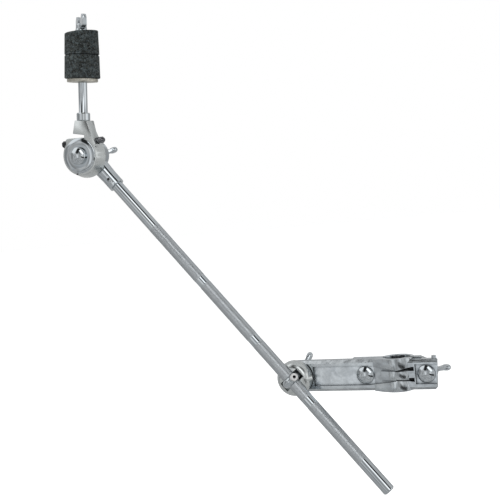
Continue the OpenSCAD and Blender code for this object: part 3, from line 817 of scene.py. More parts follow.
@dataclass
class WingNut:
    """A cast wing nut: a round hub and two raised wings with thick, rounded tips.

    Attributes:
        span_reach: How far a wing reaches from the bolt.
        height: Height of the wings.
        hub_r: Radius of the hub's foot.
        hub_h: Height of the hub.
        bore_r: Radius of the hole.
        web_t: Thickness of the wings.
        tip_t: Thickness of their round tips.
        tip_r: Radius of the tips.
        upright_from: Height from which the wings' ends stand upright, or None for sloping ones.
        voxel: Grain of the casting's mesh.
    """

    span_reach: float = 0.019
    height: float = 0.0186
    hub_r: float = 0.0066
    hub_h: float = 0.0095
    bore_r: float = 0.00405
    web_t: float = 0.0040
    tip_t: float = 0.0060
    tip_r: float = 0.0050
    upright_from: Optional[float] = None
    voxel: float = 0.00050

    def build(self, name: str, axis: Axis, body: str, node: str) -> bpy.types.Object:
        """Makes the nut and sets it on its body.

        Args:
            name: Name of the piece.
            axis: Seat and direction of the bolt, its side along the wings.
            body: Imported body.
            node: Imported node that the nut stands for.

        Returns:
            The nut.
        """
        parts = [self._hub(axis)]
        for side in (-1.0, 1.0):
            parts += [self._web(axis, side), self._tip(axis, side)]
        nut = join_meshes(name, parts)
        remesh = nut.modifiers.new("blend", "REMESH")
        remesh.mode = "VOXEL"
        remesh.voxel_size = self.voxel
        smooth = nut.modifiers.new("cast", "SMOOTH")
        smooth.factor = 0.5
        smooth.iterations = 6
        apply_modifiers(nut)
        self._bore(nut, axis)
        nut.data.shade_smooth()
        nut.data.materials.clear()
        nut.data.materials.append(Look.NUT.material())
        return settle(nut, body, Look.NUT, node)

    def _hub(self, axis: Axis) -> bpy.types.Object:
        """The hub, with a rounded top and a small foot flange."""
        foot = [(0.0, 0.0), (self.hub_r, 0.0), (self.hub_r, 0.0012), (self.hub_r - 0.0006, 0.0018)]
        top = [(self.hub_r - 0.0010, self.hub_h - 0.0014), (self.hub_r - 0.0022, self.hub_h)]
        return lathe("hub", foot + top + [(0.0, self.hub_h)], axis, Look.NUT, 48)

    def _tip_centre(self) -> tuple[float, float]:
        """Where a wing's round tip is centred, as (distance from the bolt, height)."""
        return self.span_reach - self.tip_r, self.height - self.tip_r

    def _web(self, axis: Axis, side: float) -> bpy.types.Object:
        """The tapered plate of one wing, from the hub to the tip's rim."""
        out, up = self._tip_centre()
        outline = [(0.0024, 0.0018), (0.0072, 0.0026)]
        if self.upright_from is None:
            outline += [(out + 0.0030, up - 0.0034), (out - 0.0028, up + 0.0036)]
        else:
            low, rim = self.upright_from, self.span_reach
            outline += [(rim - 0.0006, low), (rim, low + 0.0008), (rim, up), (out, up + self.tip_r)]
        outline += [(0.0058, self.hub_h + 0.0008), (0.0024, self.hub_h - 0.0008)]
        count = len(outline)
        points = [(side * x, y * self.web_t, z) for y in (-0.5, 0.5) for x, z in outline]
        faces: list[Face] = [tuple(range(count)), tuple(reversed(range(count, 2 * count)))]
        for k in range(count):
            after = (k + 1) % count
            faces.append((k, k + count, after + count, after))
        made = new_object("web", points, faces, axis, Look.NUT)
        if side < 0:
            made.data.flip_normals()
        return made

    def _tip(self, axis: Axis, side: float) -> bpy.types.Object:
        """The thick round end of one wing."""
        out, up = self._tip_centre()
        level = Matrix.Rotation(math.pi / 2, 4, "X")
        turned = axis.matrix() @ Matrix.Translation((side * out, 0.0, up)) @ level
        edge = self.tip_t / 2
        rim = arc((self.tip_r - edge, 0.0), edge, -90, 90, 12)
        place = Axis.of(turned.translation, turned.col[2][:3], turned.col[0][:3])
        return lathe("tip", [(0.0, -edge), *rim, (0.0, edge)], place, Look.NUT, 40)

    def _bore(self, nut: bpy.types.Object, axis: Axis) -> None:
        """Cuts the threaded hole through the hub."""
        low, high, radius = -0.001, self.height, self.bore_r
        profile = [(0.0, low), (radius, low), (radius, high), (0.0, high)]
        cutter = lathe("cutter", profile, axis, Look.NUT, 40)
        cut = nut.modifiers.new("bore", "BOOLEAN")
        cut.operation = "DIFFERENCE"
        cut.object = cutter
        cut.solver = "EXACT"
        apply_modifiers(nut)
        bpy.data.objects.remove(cutter)


@dataclass
class DomedBolt:
    """A domed bolt: a polished low dome with a rounded edge, a shank and a threaded end.

    Attributes:
        head_r: Radius of the head.
        head_h: Height of the head.
        rim: Height of its straight rim.
        slope: How steep the dome is where it meets the rounded edge, in degrees.
        shank_r: Radius of the shank.
        thread_len: Length of the thread.
        pitch: Pitch of the thread.
    """

    head_r: float = 0.0089
    head_h: float = 0.0048
    rim: float = 0.0011
    slope: float = 40.0
    shank_r: float = 0.004
    thread_len: float = 0.020
    pitch: float = 0.00125

    def build(self, name: str, joint_name: str, body: str, node: str) -> bpy.types.Object:
        """Makes the bolt: a dome on a low straight rim, and a shank.

        Args:
            name: Name of the piece.
            joint_name: Joint whose axis the bolt lies on, its head at the lower end.
            body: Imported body.
            node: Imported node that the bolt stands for.

        Returns:
            The bolt.
        """
        axis = joint_axis(joint_name)
        low, high = span(node, axis)
        seat, length = axis.moved(low + self.head_h), high - low - self.head_h
        plain_end = length - self.thread_len
        profile = self._dome() + [
            (self.head_r, -self.rim + HAIR),
            (self.head_r, -0.0003),
            (self.head_r, -0.0001),
            (self.head_r - HAIR, 0.0),
            (self.shank_r, 0.0),
            (self.shank_r, plain_end),
            (self.shank_r - THREAD_DEPTH, plain_end + THREAD_DEPTH),
            (0.0, plain_end + THREAD_DEPTH),
        ]
        head = sharp_edges(lathe("head", profile, seat, Look.STEEL, 72), 40)
        thread = threaded("thread", seat, self.shank_r, (plain_end, length), self.pitch)
        bolt = sharp_edges(join_meshes(name, [head, thread]), 50)
        return settle(bolt, body, Look.STEEL, node)

    def _dome(self) -> list[tuple[float, float]]:
        """Profile of the dome and its rounded edge, from the crown to the straight rim."""
        slope = math.radians(self.slope)
        rise = (1.0 - math.cos(slope)) / math.sin(slope)
        spare = self.head_h - self.rim - self.head_r * rise
        edge = spare / (math.cos(slope) - (1.0 - math.sin(slope)) * rise)
        ball = (self.head_r - edge * (1.0 - math.sin(slope))) / math.sin(slope)
        crown = arc((0.0, ball - self.head_h), ball, -90.0, self.slope - 90.0, 20)
        rounded = arc((self.head_r - edge, -self.rim), edge, self.slope - 90.0, 0.0, 8)
        return [(abs(x), z) for x, z in crown] + rounded[1:]


# ------------------------------------------------------------------ boom rod


@dataclass
class BoomRod:
    """The boom rod: diamond-knurled bands between smooth gaps, with polished ends."""

    band: float = 0.0746
    gap: float = 0.0093
    bands: int = 4
    plain_end: float = 0.0407
    chamfer: float = 0.0014
    starts: int = 28
    cell: float = 0.0014
    cut_depth: float = 0.00020
    flat: float = 0.58
    step: float = 0.00036
    columns: int = 140
    gap_depth: float = 0.00012
    lead: float = 0.0003

    def build(self) -> bpy.types.Object:
        """Makes the rod and sets it on its body.

        Returns:
            The rod, with its depth of knurl stored on the mesh.
        """
        hub = joint_axis("boom_roll", (0.0, 1.0, 0.0))
        start, end = span("boom_rod", hub)
        radius = (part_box("boom_rod")[1].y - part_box("boom_rod")[0].y) / 2
        heights = self._heights(start - end)
        points: list[Point] = []
        depths: list[float] = []
        for height, outline in heights:
            for k in range(self.columns):
                turn = 2 * math.pi * k / self.columns
                depth = outline if outline >= 0 else self._diamond(k / self.columns, height)
                away = radius - depth
                points.append((away * math.cos(turn), away * math.sin(turn), height))
                depths.append(min(1.0, depth / self.cut_depth) if outline < 0 else 0.0)
        faces = tube_faces(len(heights), self.columns)
        rod = new_object("knurled_rod", points, faces, hub.moved(end), Look.ROD)
        layer = rod.data.attributes.new("depth", "FLOAT", "POINT")
        layer.data.foreach_set("value", np.array(depths, np.float32))
        rod.data.materials.append(Look.KNURL.material())
        for face in rod.data.polygons:
            row = min(face.vertices[0], face.vertices[2]) // self.columns
            face.material_index = int(heights[row][1] < 0 and len(face.vertices) == 4)
        return settle(sharp_edges(rod, 60), "boom", Look.KNURL, "boom_rod")

    def _heights(self, length: float) -> list[tuple[float, float]]:
        """Ring heights from the seat to the free end, each with its depth, or -1 where knurled.

        Args:
            length: Height of the rod's seated end, below 0.

        Returns:
            (height, depth) pairs in rising order.
        """
        rings = [(0.0, self.chamfer), (-self.chamfer * 0.5, self.chamfer * 0.42), (length, 0.0)]
        plain = (-self.chamfer, -self.chamfer - self.lead, self.lead - self.plain_end)
        rings += [(height, 0.0) for height in (*plain, -self.plain_end)]
        top = -self.plain_end
        for number in range(1, self.bands + 1):
            bottom = top - self.band
            count = int(self.band / self.step)
            rings += [(top - self.band * (k + 0.5) / count, -1.0) for k in range(count)]
            top = bottom - self.gap
            if number < self.bands:
                high, low = bottom - HAIR, top + HAIR
                gap = (high, high - self.lead, low + self.lead, low)
                rings += [(height, self.gap_depth) for height in gap]
        rings += [(bottom, 0.0), (bottom - self.lead, 0.0)]
        return sorted(rings)

    def _diamond(self, turn: float, height: float) -> float:
        """Depth of the diamond knurl at a place on the rod."""
        along = height / self.cell
        first = abs(2 * ((turn * self.starts + along) % 1.0) - 1)
        second = abs(2 * ((turn * self.starts - along) % 1.0) - 1)
        return self.cut_depth * max(0.0, (max(first, second) - self.flat) / (1.0 - self.flat))


# ------------------------------------------------------------------ stand clamp


@dataclass
class StandClamp:
    """The jaw clamp: a chromed casting, a rear jaw, two domed bolts and their nuts."""

    bolt: DomedBolt
    nut: WingNut
    levels: tuple[tuple[str, float], ...] = (("left", 4.0), ("right", -2.0))
    edge: float = 0.0007
    pocket_r: float = 0.0143
    slot_ends: tuple[float, float] = (0.002, 0.0195)
    slot_rise: tuple[float, float] = (0.0032, 0.0082)
    slot_floor: float = 0.007
    channel_y: float = -0.0108

    def build(self) -> None:
        """Dresses the castings and makes the fasteners."""
        dress("clamp_casting", Look.CASTING, self.edge)
        dress("rear_jaw", Look.CASTING, self.edge)
        self._bores()
        for side, level in self.levels:
            spin = f"{side}_nut_spin"
            dress(f"jaw_washer_{side}", Look.ZINC, HAIR)
            self.bolt.build(f"{side}_jaw_bolt", spin, "clamp", f"jaw_bolt_{side}")
            axis = nut_axis(spin, f"jaw_nut_{side}", level)
            self.nut.build(f"{side}_jaw_nut", axis, f"{side}_nut", f"jaw_nut_{side}")

    def _bores(self) -> None:
        """Darkens the tube pocket and the slots with painted shade, and lightens the channel floor
        with painted light.
        """

        def in_pocket(face: bpy.types.MeshPolygon) -> bool:
            """True for the faces of the round pocket, which look towards the tube."""
            away = math.hypot(face.center.x, face.center.y)
            outward = face.center.x * face.normal.x + face.center.y * face.normal.y
            return away < self.pocket_r + HAIR and outward < -0.7 * away

        def in_slot(face: bpy.types.MeshPolygon) -> bool:
            """True for the floor and the walls of the side slots."""
            place, normal = face.center, face.normal
            beside = self.slot_ends[0] < place.x < self.slot_ends[1] + HAIR
            level = self.slot_rise[0] < abs(place.z) < self.slot_rise[1]
            wall = abs(normal.z) > 0.7 or abs(normal.x) > 0.9 or place.y > -self.slot_floor - HAIR
            return beside and level and wall and place.y < 0.0

        def in_channel(face: bpy.types.MeshPolygon) -> bool:
            """True for the flat floor of the arm's channel."""
            return face.normal.y < -0.99 and abs(face.center.y - self.channel_y) < 0.0003

        # Painted shade: the pocket and slot faces take the dark finish.
        paint_faces("clamp_casting", Look.HOLLOW_SHADE, lambda face: in_pocket(face) or in_slot(face))
        # Painted light: the channel floor takes the brighter chrome.
        paint_faces("clamp_casting", Look.FLOOR, in_channel)


# ------------------------------------------------------------------ boom holder


@dataclass
class BoomHolder:
    """The boom holder: saddle, eyebolt, locking screw, washers and wing nut."""

    nut: WingNut
    nut_turn: float = 66.0
    socket_r: float = 0.0019
    socket_ends: tuple[float, float] = (0.0001, 0.003)

    def build(self) -> None:
        """Dresses the holder's pieces."""
        dress("saddle", Look.SATIN, 0.0005)
        dress("eyebolt", Look.NUT, 0.0004)
        self._eye_screw()
        dress("friction_washer", Look.FIBRE, HAIR)
        dress("holder_washer", Look.ZINC, HAIR)
        axis = nut_axis("holder_nut_spin", "holder_nut", self.nut_turn)
        self.nut.build("holder_wing_nut", axis, "holder_wing_nut", "holder_nut")

    def _eye_screw(self) -> None:
        """The eye's locking screw, its hexagonal socket darkened with painted shade."""
        dress("eye_screw", Look.SCREW)
        axis = joint_axis("eye_screw_turn", (0.0, 0.0, 1.0))
        top = span("eye_screw", axis)[1]

        def in_socket(face: bpy.types.MeshPolygon) -> bool:
            """True for the faces down in the socket."""
            height, away = axis.measure(face.center)
            return self.socket_ends[0] < top - height < self.socket_ends[1] and away < self.socket_r

        # Painted shade: the socket's faces take the black finish.
        paint_faces("eye_screw", Look.BLACK_AND_HOLE_SHADE, in_socket)


# ------------------------------------------------------------------ tilter


@dataclass
class Tilter:
    """The tilter: rod casting, split ring with its neck, disc, pivot bolt and nuts."""

    bolt: DomedBolt
    nut: WingNut
    nut_turn: float = 17.0
    hole_r: float = 0.0018
    pin_turn: float = 197.0
    pin_reach: float = 0.0202
    pin_r: float = 0.00094
    pin_clear: float = 0.0022
    ring_edge: float = 0.0006
    disc_bore: float = 0.0042
    disc_seat: float = 0.53
    disc_rim: float = 0.0006

    def build(self) -> None:
        """Dresses the castings and makes the fasteners."""
        spin = "tilter_nut_spin"
        axis = joint_axis(spin)
        dress("tilter_casting", Look.SLEEVE, 0.0006)
        dress("sleeve_screw", Look.BLACK_AND_HOLE_SHADE)
        self._screw_hole()
        self._split_ring(axis)
        dress("brake_screw", Look.TOOL, 0.0003)
        dress("brake_nut", Look.BLACK_AND_HOLE_SHADE, HAIR)
        dress("tilter_washer", Look.ZINC, HAIR)
        self._disc(axis)
        self.bolt.build("tilter_pivot_bolt", spin, "yoke", "pivot_bolt")
        nut = nut_axis(spin, "tilter_nut", self.nut_turn)
        self.nut.build("tilter_wing_nut", nut, "tilter_wing_nut", "tilter_nut")

    def _screw_hole(self) -> None:
        """Blackens the wall of the sleeve's screw hole as painted shade."""
        axis = joint_axis("sleeve_screw_turn")

        def in_hole(face: bpy.types.MeshPolygon) -> bool:
            """True for the wall of the screw hole."""
            along = abs(face.normal.dot(axis.along))
            return axis.measure(face.center)[1] < self.hole_r and along < 0.3

        # Painted shade: the hole's wall takes the black finish.
        paint_faces("tilter_casting", Look.BLACK_AND_HOLE_SHADE, in_hole)

    def _split_ring(self, axis: Axis) -> None:
        """The split ring with its neck: long edges rounded, the small pin hole left sharp and
        blackened as painted shade.
        """
        turn = math.radians(self.pin_turn)
        out = Vector((math.sin(turn), 0.0, math.cos(turn)))
        hole = Axis.of(axis.point + out * self.pin_reach, axis.along)
        shape = bmesh.new()
        shape.from_mesh(frame["nodes"]["tilter_yoke"].data)
        bmesh.ops.remove_doubles(shape, verts=shape.verts, dist=WELD)
        whole = {"verts": list(shape.verts), "edges": list(shape.edges)}
        bmesh.ops.dissolve_limit(shape, angle_limit=math.radians(1.0), **whole)
        rounded = [
            edge
            for edge in shape.edges
            if edge.is_manifold
            and edge.is_convex
            and edge.calc_face_angle(0.0) > CREASE
            and min(hole.measure(v.co)[1] for v in edge.verts) > self.pin_clear
        ]
        options = {"segments": 3, "profile": 0.5, "affect": "EDGES", "clamp_overlap": False}
        bmesh.ops.bevel(shape, geom=rounded, offset=self.ring_edge, **options)
        bmesh.ops.triangulate(shape, faces=list(shape.faces))
        mesh = bpy.data.meshes.new("split_ring")
        shape.to_mesh(mesh)
        shape.free()
        for look in (Look.SATIN, Look.BLACK_AND_HOLE_SHADE):
            mesh.materials.append(look.material())
        for face in mesh.polygons:
            face.use_smooth = True
            # Painted shade: the pin hole's faces take the black finish.
            face.material_index = int(hole.measure(face.center)[1] < self.pin_r)
        piece = sharp_edges(add_object("split_ring", mesh), 32)
        settle(piece, "yoke", Look.SATIN, "tilter_yoke")

    def _disc(self, axis: Axis) -> None:
        """The friction disc: flat under the bolt's head, falling away in a curve to its rim."""
        low, high = span("friction_disc", axis)
        outer = reach(frame["nodes"]["friction_disc"], axis)
        seat = outer * self.disc_seat
        fall = high - low - self.disc_rim
        steps = 18
        profile = [(self.disc_bore, high), (self.disc_bore, low), (seat, low)]
        for share in (step / steps for step in range(1, steps + 1)):
            profile.append((seat + (outer - HAIR - seat) * share, low + fall * share**3))
        profile += [(outer, low + fall + HAIR), (outer, high - HAIR), (outer - HAIR, high)]
        disc = sharp_edges(lathe("tilter_disc", profile, axis, Look.STEEL, 96, closed=True), 40)
        settle(disc, "yoke", Look.STEEL, "friction_disc")


# ------------------------------------------------------------------ cymbal seat


@dataclass(frozen=True)
class Felt:
    """A thick pressed ring of wool that swells and sags a little."""

    name: str
    node: str
    seed: int
    widths: tuple[float, float]  # at the foot and at the top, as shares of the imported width
    lean: float = 0.0  # how far its top dips at the left
    inner: float = 0.0060
    edge: float = 0.0009
    swell: float = 0.0006  # how far it may bulge, and what it is made narrower by
    press_steps: int = 12
    dip_turn: float = 0.4
    nut_clear: float = 0.0095
    lift_share: float = 0.80
    wave: float = 0.00022
    sag: float = 0.00012

    def build(self, axis: Axis) -> None:
        """Makes the felt round the post's axis."""
        low, high = span(self.node, axis)
        low, high = low + HAIR, high - HAIR
        outer = reach(frame["nodes"][self.node], axis) - self.swell
        inner, edge = self.inner, self.edge
        rise, face, wall = high - low, outer - edge - inner, high - low - 2 * edge
        profile = [(inner + face * k / 5, low) for k in range(5)]
        profile += arc((outer - edge, low + edge), edge, -90, 0, 5)
        profile += [(outer, low + edge + wall * k / 9) for k in range(1, 9)]
        profile += arc((outer - edge, high - edge), edge, 0, 90, 5)
        profile += [(outer - edge - face * k / 5, high) for k in range(1, 6)]
        profile += [(inner, high - rise * k / 8) for k in range(1, 8)]
        felt = lathe(self.name, profile, axis, Look.FELT, 84, closed=True)
        self._press(felt, axis, (low, high), outer)
        self._unevenness(felt, axis, (low, high))
        felt.data.shade_smooth()
        settle(felt, "yoke", Look.FELT, self.node)

    def _press(
        self, felt: bpy.types.Object, axis: Axis, ends: tuple[float, float], outer: float
    ) -> None:
        """Presses the felt outwards as cloth under a little pressure, its flat faces held."""
        group = felt.vertex_groups.new(name="held")
        for vertex in felt.data.vertices:
            height, away = axis.measure(vertex.co)
            flat = height < ends[0] + 0.0004 or height > ends[1] - 0.0004
            if flat or away < outer * 0.6:
                group.add([vertex.index], 1.0, "REPLACE")
        settings = felt.modifiers.new("press", "CLOTH").settings
        settings.use_pressure = True
        settings.uniform_pressure_force = 2.0
        settings.tension_stiffness = 40.0
        settings.compression_stiffness = 40.0
        settings.bending_stiffness = 20.0
        settings.vertex_group_mass = "held"
        settings.effector_weights.gravity = 0.0
        rest = [v.co.copy() for v in felt.data.vertices]
        scene = bpy.context.scene
        for step in range(1, self.press_steps + 1):
            scene.frame_set(step)
        apply_modifiers(felt)
        scene.frame_set(1)
        for vertex, was in zip(felt.data.vertices, rest):
            moved = vertex.co - was
            if moved.length > self.swell:
                vertex.co = was + moved.normalized() * self.swell

    def _unevenness(self, felt: bpy.types.Object, axis: Axis, ends: tuple[float, float]) -> None:
        """Gives the felt the taper, dip and waviness of pressed wool.

        Args:
            felt: The felt.
            axis: The post's axis.
            ends: Lowest and highest place on the axis.
        """
        chance = random.Random(self.seed)
        waves = [
            (n, chance.uniform(0, 2 * math.pi), chance.uniform(0.3, 1.0)) for n in (2, 3, 5, 7, 9)
        ]
        outer = reach(felt, axis)
        place = axis.matrix()
        inverse = place.inverted()
        foot, top = self.widths
        for vertex in felt.data.vertices:
            local = inverse @ vertex.co
            away = math.hypot(local.x, local.y)
            turn = math.atan2(local.y, local.x)
            share = (local.z - ends[0]) / (ends[1] - ends[0])
            if away > 0.5 * outer:
                wave = sum(w * math.sin(n * turn + p + 2.4 * share) / n for n, p, w in waves)
                scale = foot + (top - foot) * share + (self.wave * wave - HAIR) / away
                local.x *= scale
                local.y *= scale
            side = math.cos(turn - self.dip_turn)
            dip = 0.5 * (1 - side) * (away / outer)
            past = max(0.0, (away - self.nut_clear) / (outer - self.nut_clear))
            local.z -= share * self.lean * (dip - self.lift_share * 0.5 * (1 + side) * past)
            sag = self.sag * (1 + math.sin(2 * turn + waves[0][1])) * (away / outer) ** 2
            local.z -= sag if share > 0.5 else -sag
            vertex.co = place @ local


@dataclass
class CymbalSeat:
    """The cymbal post with its collar, washer, sleeve, felts and top nut."""

    nut: WingNut
    top_turn: float = -48.0
    collar_r: float = 0.00725
    neck_r: float = 0.00475
    stud_r: float = 0.004
    felts: tuple[Felt, ...] = (
        Felt("felt_below", "lower_felt", 3, (1.025, 1.0)),
        Felt("felt_above", "upper_felt", 8, (0.995, 0.965), 0.0019),
    )

    def build(self) -> None:
        """Makes the seat's pieces."""
        axis = joint_axis("top_nut_spin")
        self._post(axis)
        dress("seat_washer", Look.PASSIVATED, 0.0004)
        dress("cymbal_sleeve", Look.TUBE)
        for felt in self.felts:
            felt.build(axis)
        wings = axis.turned(self.top_turn)
        seat = wings.moved(span("top_nut", wings)[0])
        self.nut.build("cymbal_wing_nut", seat, "post_nut", "top_nut")

    def _post(self, axis: Axis) -> None:
        """The polished post with its chamfered collar and threaded top."""
        low, high = span("cymbal_post", axis)
        seat = span("seat_washer", axis)[0]
        foot = span("tilter_yoke", axis)[1]
        collar, neck, stud = self.collar_r, self.neck_r, self.stud_r
        profile = [
            (0.0, low),
            (stud, low),
            (stud, foot),
            (collar - 0.0006, foot),
            (collar, foot + 0.0006),
            (collar, foot + 0.0072),
            (0.0064, foot + 0.0083),
            (0.0049, foot + 0.0083),
            (neck, foot + 0.0086),
            (neck, seat - 0.0004),
            (0.0044, seat),
            (0.00395, seat),
            (0.00395, seat + 0.006),
            (0.0035, seat + 0.0064),
            (0.0, seat + 0.0064),
        ]
        post = sharp_edges(lathe("post", profile, axis, Look.STEEL, 64), 30)
        thread = threaded("stud", axis, stud, (seat + 0.005, high), 0.00125)
        whole = sharp_edges(join_meshes("post_and_stud", [post, thread]), 30)
        settle(whole, "yoke", Look.STEEL, "cymbal_post")


# ------------------------------------------------------------------ studio


def heading(azimuth: float, elevation: float) -> Vector:
    """A direction in degrees: azimuth 0 in front and 90 at the right, elevation upwards."""
    a, e = math.radians(azimuth), math.radians(elevation)
    return Vector((math.sin(a) * math.cos(e), -math.cos(a) * math.cos(e), math.sin(e)))


def rightward(azimuth: float) -> Vector:
    """The level direction to the right of something seen in a direction."""
    return Vector((math.cos(math.radians(azimuth)), math.sin(math.radians(azimuth)), 0.0))


@dataclass(frozen=True)
class SoftBox:
    """A bright or dark panel that only shows in the chrome, placed by its direction.

    Attributes:
        azimuth: Direction seen from above, 0 in front and 90 at the right, in degrees.
        elevation: Height above the horizon, in degrees.
        width: Half its width, as the tangent of an angle.
        height: Half its height, as the tangent of an angle.
        glow: Brightness.
        soft: Width of its faded edge.
        turn: Turn about its centre, in degrees.
    """

    azimuth: float
    elevation: float
    width: float
    height: float
    glow: float
    soft: float = 0.05
    turn: float = 0.0

    def mask(self, graph: Graph, ahead: Value) -> Value:
        """Mask of the panel in a graph, 1 inside it and 0 outside.

        Args:
            graph: Graph of the tent.
            ahead: Direction of each place of the tent.

        Returns:
            The mask.
        """
        turn = math.radians(self.turn)
        middle, level = heading(self.azimuth, self.elevation), rightward(self.azimuth)
        rise = level.cross(middle) * -1.0
        right = level * math.cos(turn) + rise * math.sin(turn)
        top = rise * math.cos(turn) - level * math.sin(turn)
        near = dot(graph, ahead, middle)
        depth = near.at_least(0.001)
        edges: list[Value] = []
        for axis, half in ((right, self.width), (top, self.height)):
            off = dot(graph, ahead, axis) / depth
            off = off.at_least(off * -1.0)
            edges.append(graph.spread(half + self.soft - off, 0.0, 2.0 * self.soft))
        return edges[0] * edges[1] * graph.spread(near, 0.0, 0.1)


def dot(graph: Graph, ahead: Value, axis: Sequence[float]) -> Value:
    """How far a direction points along an axis."""
    inputs = {0: ahead, 1: tuple(axis)}
    return graph.value("ShaderNodeVectorMath", "Value", inputs, operation="DOT_PRODUCT")


def shown(graph: Graph) -> Value:
    """1 where something is seen directly, in a mirror or through glass, else 0."""
    rays = ("Camera", "Glossy", "Transmission")
    camera, glossy, through = (graph.value("ShaderNodeLightPath", f"Is {ray} Ray") for ray in rays)
    return camera.at_least(glossy).at_least(through)


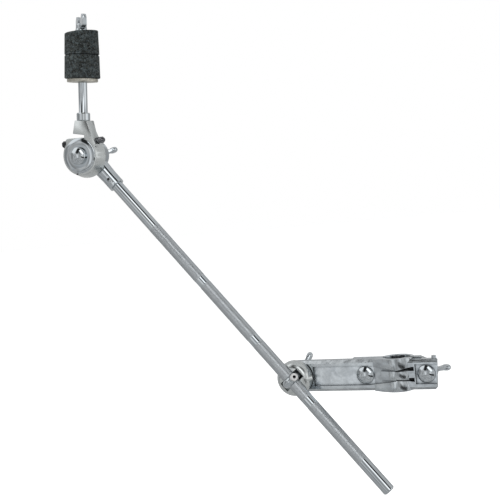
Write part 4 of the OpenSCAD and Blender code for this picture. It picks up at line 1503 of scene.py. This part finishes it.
@dataclass
class Studio:
    """Floor, lamps, light tent, world and camera."""

    azimuth: float = 22.65
    elevation: float = 3.99
    roll: float = -6.12
    distance: float = 0.99926
    lens: float = 68.81
    aim: Point = (-0.13988, -0.020, 0.13741)
    floor_drop: float = 0.16
    floor_reach: float = 8.0
    tent_r: float = 12.0
    lamps: tuple[tuple[str, Point, float, float, float], ...] = (
        ("key", (0.55, -0.95, 1.05), 0.60, 0.9, 5.0),
        ("fill", (-1.25, -0.80, 0.45), 1.00, 1.0, 4.0),
        ("back", (-0.30, 1.20, 0.90), 1.20, 0.8, 5.0),
    )
    boxes: tuple[SoftBox, ...] = (
        SoftBox(-60.0, 46.0, 0.34, 0.46, 1.15),
        SoftBox(-12.0, 0.0, 0.13, 0.24, 1.0, 0.04),
        SoftBox(12.0, 0.0, 0.10, 0.24, 0.42, 0.04),
        SoftBox(32.0, -2.0, 0.10, 0.18, 1.0, 0.04),
        SoftBox(92.0, 0.0, 0.40, 0.30, 1.15, 0.08),
        SoftBox(-72.0, 6.0, 0.24, 0.30, 0.32, 0.08),
        SoftBox(157.0, 0.0, 0.30, 0.40, 0.42, 0.10),
        SoftBox(-14.0, 45.0, 0.22, 0.44, 0.03),
        SoftBox(8.0, 30.0, 0.06, 0.20, 0.04, 0.03, 20.0),
        SoftBox(31.0, 32.0, 0.15, 0.44, 1.9, 0.03, 32.0),
        SoftBox(62.0, 43.0, 0.19, 0.34, 0.02, 0.03, 17.0),
        SoftBox(41.0, -18.0, 0.38, 0.11, 0.02, 0.03, -18.0),
        SoftBox(0.0, 90.0, 0.24, 0.24, 0.62),
    )

    def build(self) -> None:
        """Makes the whole studio."""
        self._world()
        self._tent()
        self._floor()
        self._lamps()
        self._camera()

    def _world(self) -> None:
        """White where it is seen, plain grey light everywhere else."""
        world = bpy.data.worlds.new("studio")
        bpy.context.scene.world = world
        world.use_nodes = True
        graph = Graph(world.node_tree)
        colour = graph.mix(shown(graph), (0.60, 0.61, 0.62), WHITE)
        graph.show(graph.node("ShaderNodeBackground", {"Color": colour, "Strength": 1.0}), "World")

    def _tent(self) -> None:
        """A grey light tent round the arm, with its panels, that only shows in the chrome."""
        mesh = bpy.data.meshes.new("light_tent")
        shell = bmesh.new()
        bmesh.ops.create_icosphere(shell, subdivisions=4, radius=self.tent_r)
        bmesh.ops.reverse_faces(shell, faces=shell.faces[:])
        shell.to_mesh(mesh)
        shell.free()
        material, graph = new_material("tent_cloth")
        material.cycles.emission_sampling = "NONE"
        mesh.materials.append(material)
        inputs = {0: graph.place()}
        ahead = graph.value("ShaderNodeVectorMath", 0, inputs, operation="NORMALIZE")
        level = self._wall(graph, ahead)
        for box in self.boxes:
            mask = box.mask(graph, ahead)
            level = level * (1.0 - mask) + mask * box.glow
        warmth = self._folds(graph, ahead, 11.0) * 0.05
        tint = {0: level * (warmth + 0.965), 1: level, 2: level * (1.03 - warmth)}
        colour = graph.value("ShaderNodeCombineColor", 0, tint)
        graph.show(graph.node("ShaderNodeEmission", {"Color": colour, "Strength": 1.0}))
        tent = add_object("light_tent", mesh)
        tent.location = Vector(self.aim)
        tent.visible_camera = False
        tent.visible_diffuse = False
        tent.visible_shadow = False

    def _wall(self, graph: Graph, ahead: Value) -> Value:
        """Brightness of the tent's cloth: a little darker below, with soft folds."""
        height, side = dot(graph, ahead, (0.0, 0.0, 1.0)), dot(graph, ahead, (1.0, 0.0, 0.0))
        return height * 0.07 + side * 0.04 + self._folds(graph, ahead, 7.0) * 0.34 + 0.39

    @staticmethod
    def _folds(graph: Graph, ahead: Value, scale: float) -> Value:
        """Soft folds of the tent's cloth, from 0 to 1."""
        return graph.spread(graph.noise(scale, 2.0, 0.5, place=ahead), 0.36, 0.64)

    def _floor(self) -> None:
        """A pale floor below the arm, white to the camera where no shadow falls."""
        height, far = CAD_BOX[0].z - self.floor_drop, self.floor_reach
        corners = [(x * far, y * far, height) for x, y in ((-1, -1), (1, -1), (1, 1), (-1, 1))]
        mesh = bpy.data.meshes.new("floor")
        mesh.from_pydata(corners, [], [(0, 1, 2, 3)])
        material, graph = new_material("pale_floor")
        mesh.materials.append(material)
        paint = {"Base Color": (0.86, 0.86, 0.86, 1.0), "Roughness": 0.7, "Specular IOR Level": 0.2}
        shader = graph.node("ShaderNodeBsdfPrincipled", paint).outputs[0]
        glow = graph.node("ShaderNodeEmission", {"Color": WHITE, "Strength": 0.55}).outputs[0]
        lit = graph.node("ShaderNodeAddShader", {0: shader, 1: glow}).outputs[0]
        graph.show(graph.node("ShaderNodeMixShader", {0: shown(graph), 1: shader, 2: lit}))
        floor = add_object("floor", mesh)
        floor.visible_glossy = False

    def _lamps(self) -> None:
        """Soft lamps at a plain level, kept out of the chrome, which shows the tent instead."""
        for name, place, width, height, power in self.lamps:
            light = bpy.data.lights.new(name, "AREA")
            light.shape = "RECTANGLE"
            light.size, light.size_y = width, height
            light.energy = power
            lamp = add_object(name, light)
            lamp.location = Vector(place)
            aim = Vector(self.aim) - lamp.location
            lamp.rotation_euler = aim.to_track_quat("-Z", "Y").to_euler()
            lamp.visible_glossy = False

    def _camera(self) -> None:
        """The camera, level with the clamp and turned to its free end."""
        roll = math.radians(self.roll)
        back, level = heading(self.azimuth, self.elevation), rightward(self.azimuth)
        right = level * math.cos(roll) + back.cross(level) * math.sin(roll)
        data = bpy.data.cameras.new("camera")
        data.sensor_width = 36.0
        data.lens = self.lens
        camera = add_object("camera", data)
        place = Vector(self.aim) + back * self.distance
        camera.matrix_world = placed(place, right, back.cross(right), back)
        bpy.context.scene.camera = camera


def main() -> None:
    """Builds the arm from clamp to cymbal seat, then the studio."""
    logging.basicConfig(level=logging.INFO, format="%(name)s: %(message)s")
    bpy.context.scene.view_settings.view_transform = "Standard"
    nut = WingNut()
    top_nut = WingNut(
        height=0.0168, hub_h=0.0085, web_t=0.0052, tip_t=0.0052, tip_r=0.0040, upright_from=0.0042
    )
    StandClamp(DomedBolt(), nut).build()
    BoomHolder(WingNut(span_reach=0.0226, height=0.0205)).build()
    BoomRod().build()
    Tilter(DomedBolt(head_r=0.0095, head_h=0.0068, rim=0.0020), nut).build()
    CymbalSeat(top_nut).build()
    Studio().build()


if __name__ == "__main__":
    main()
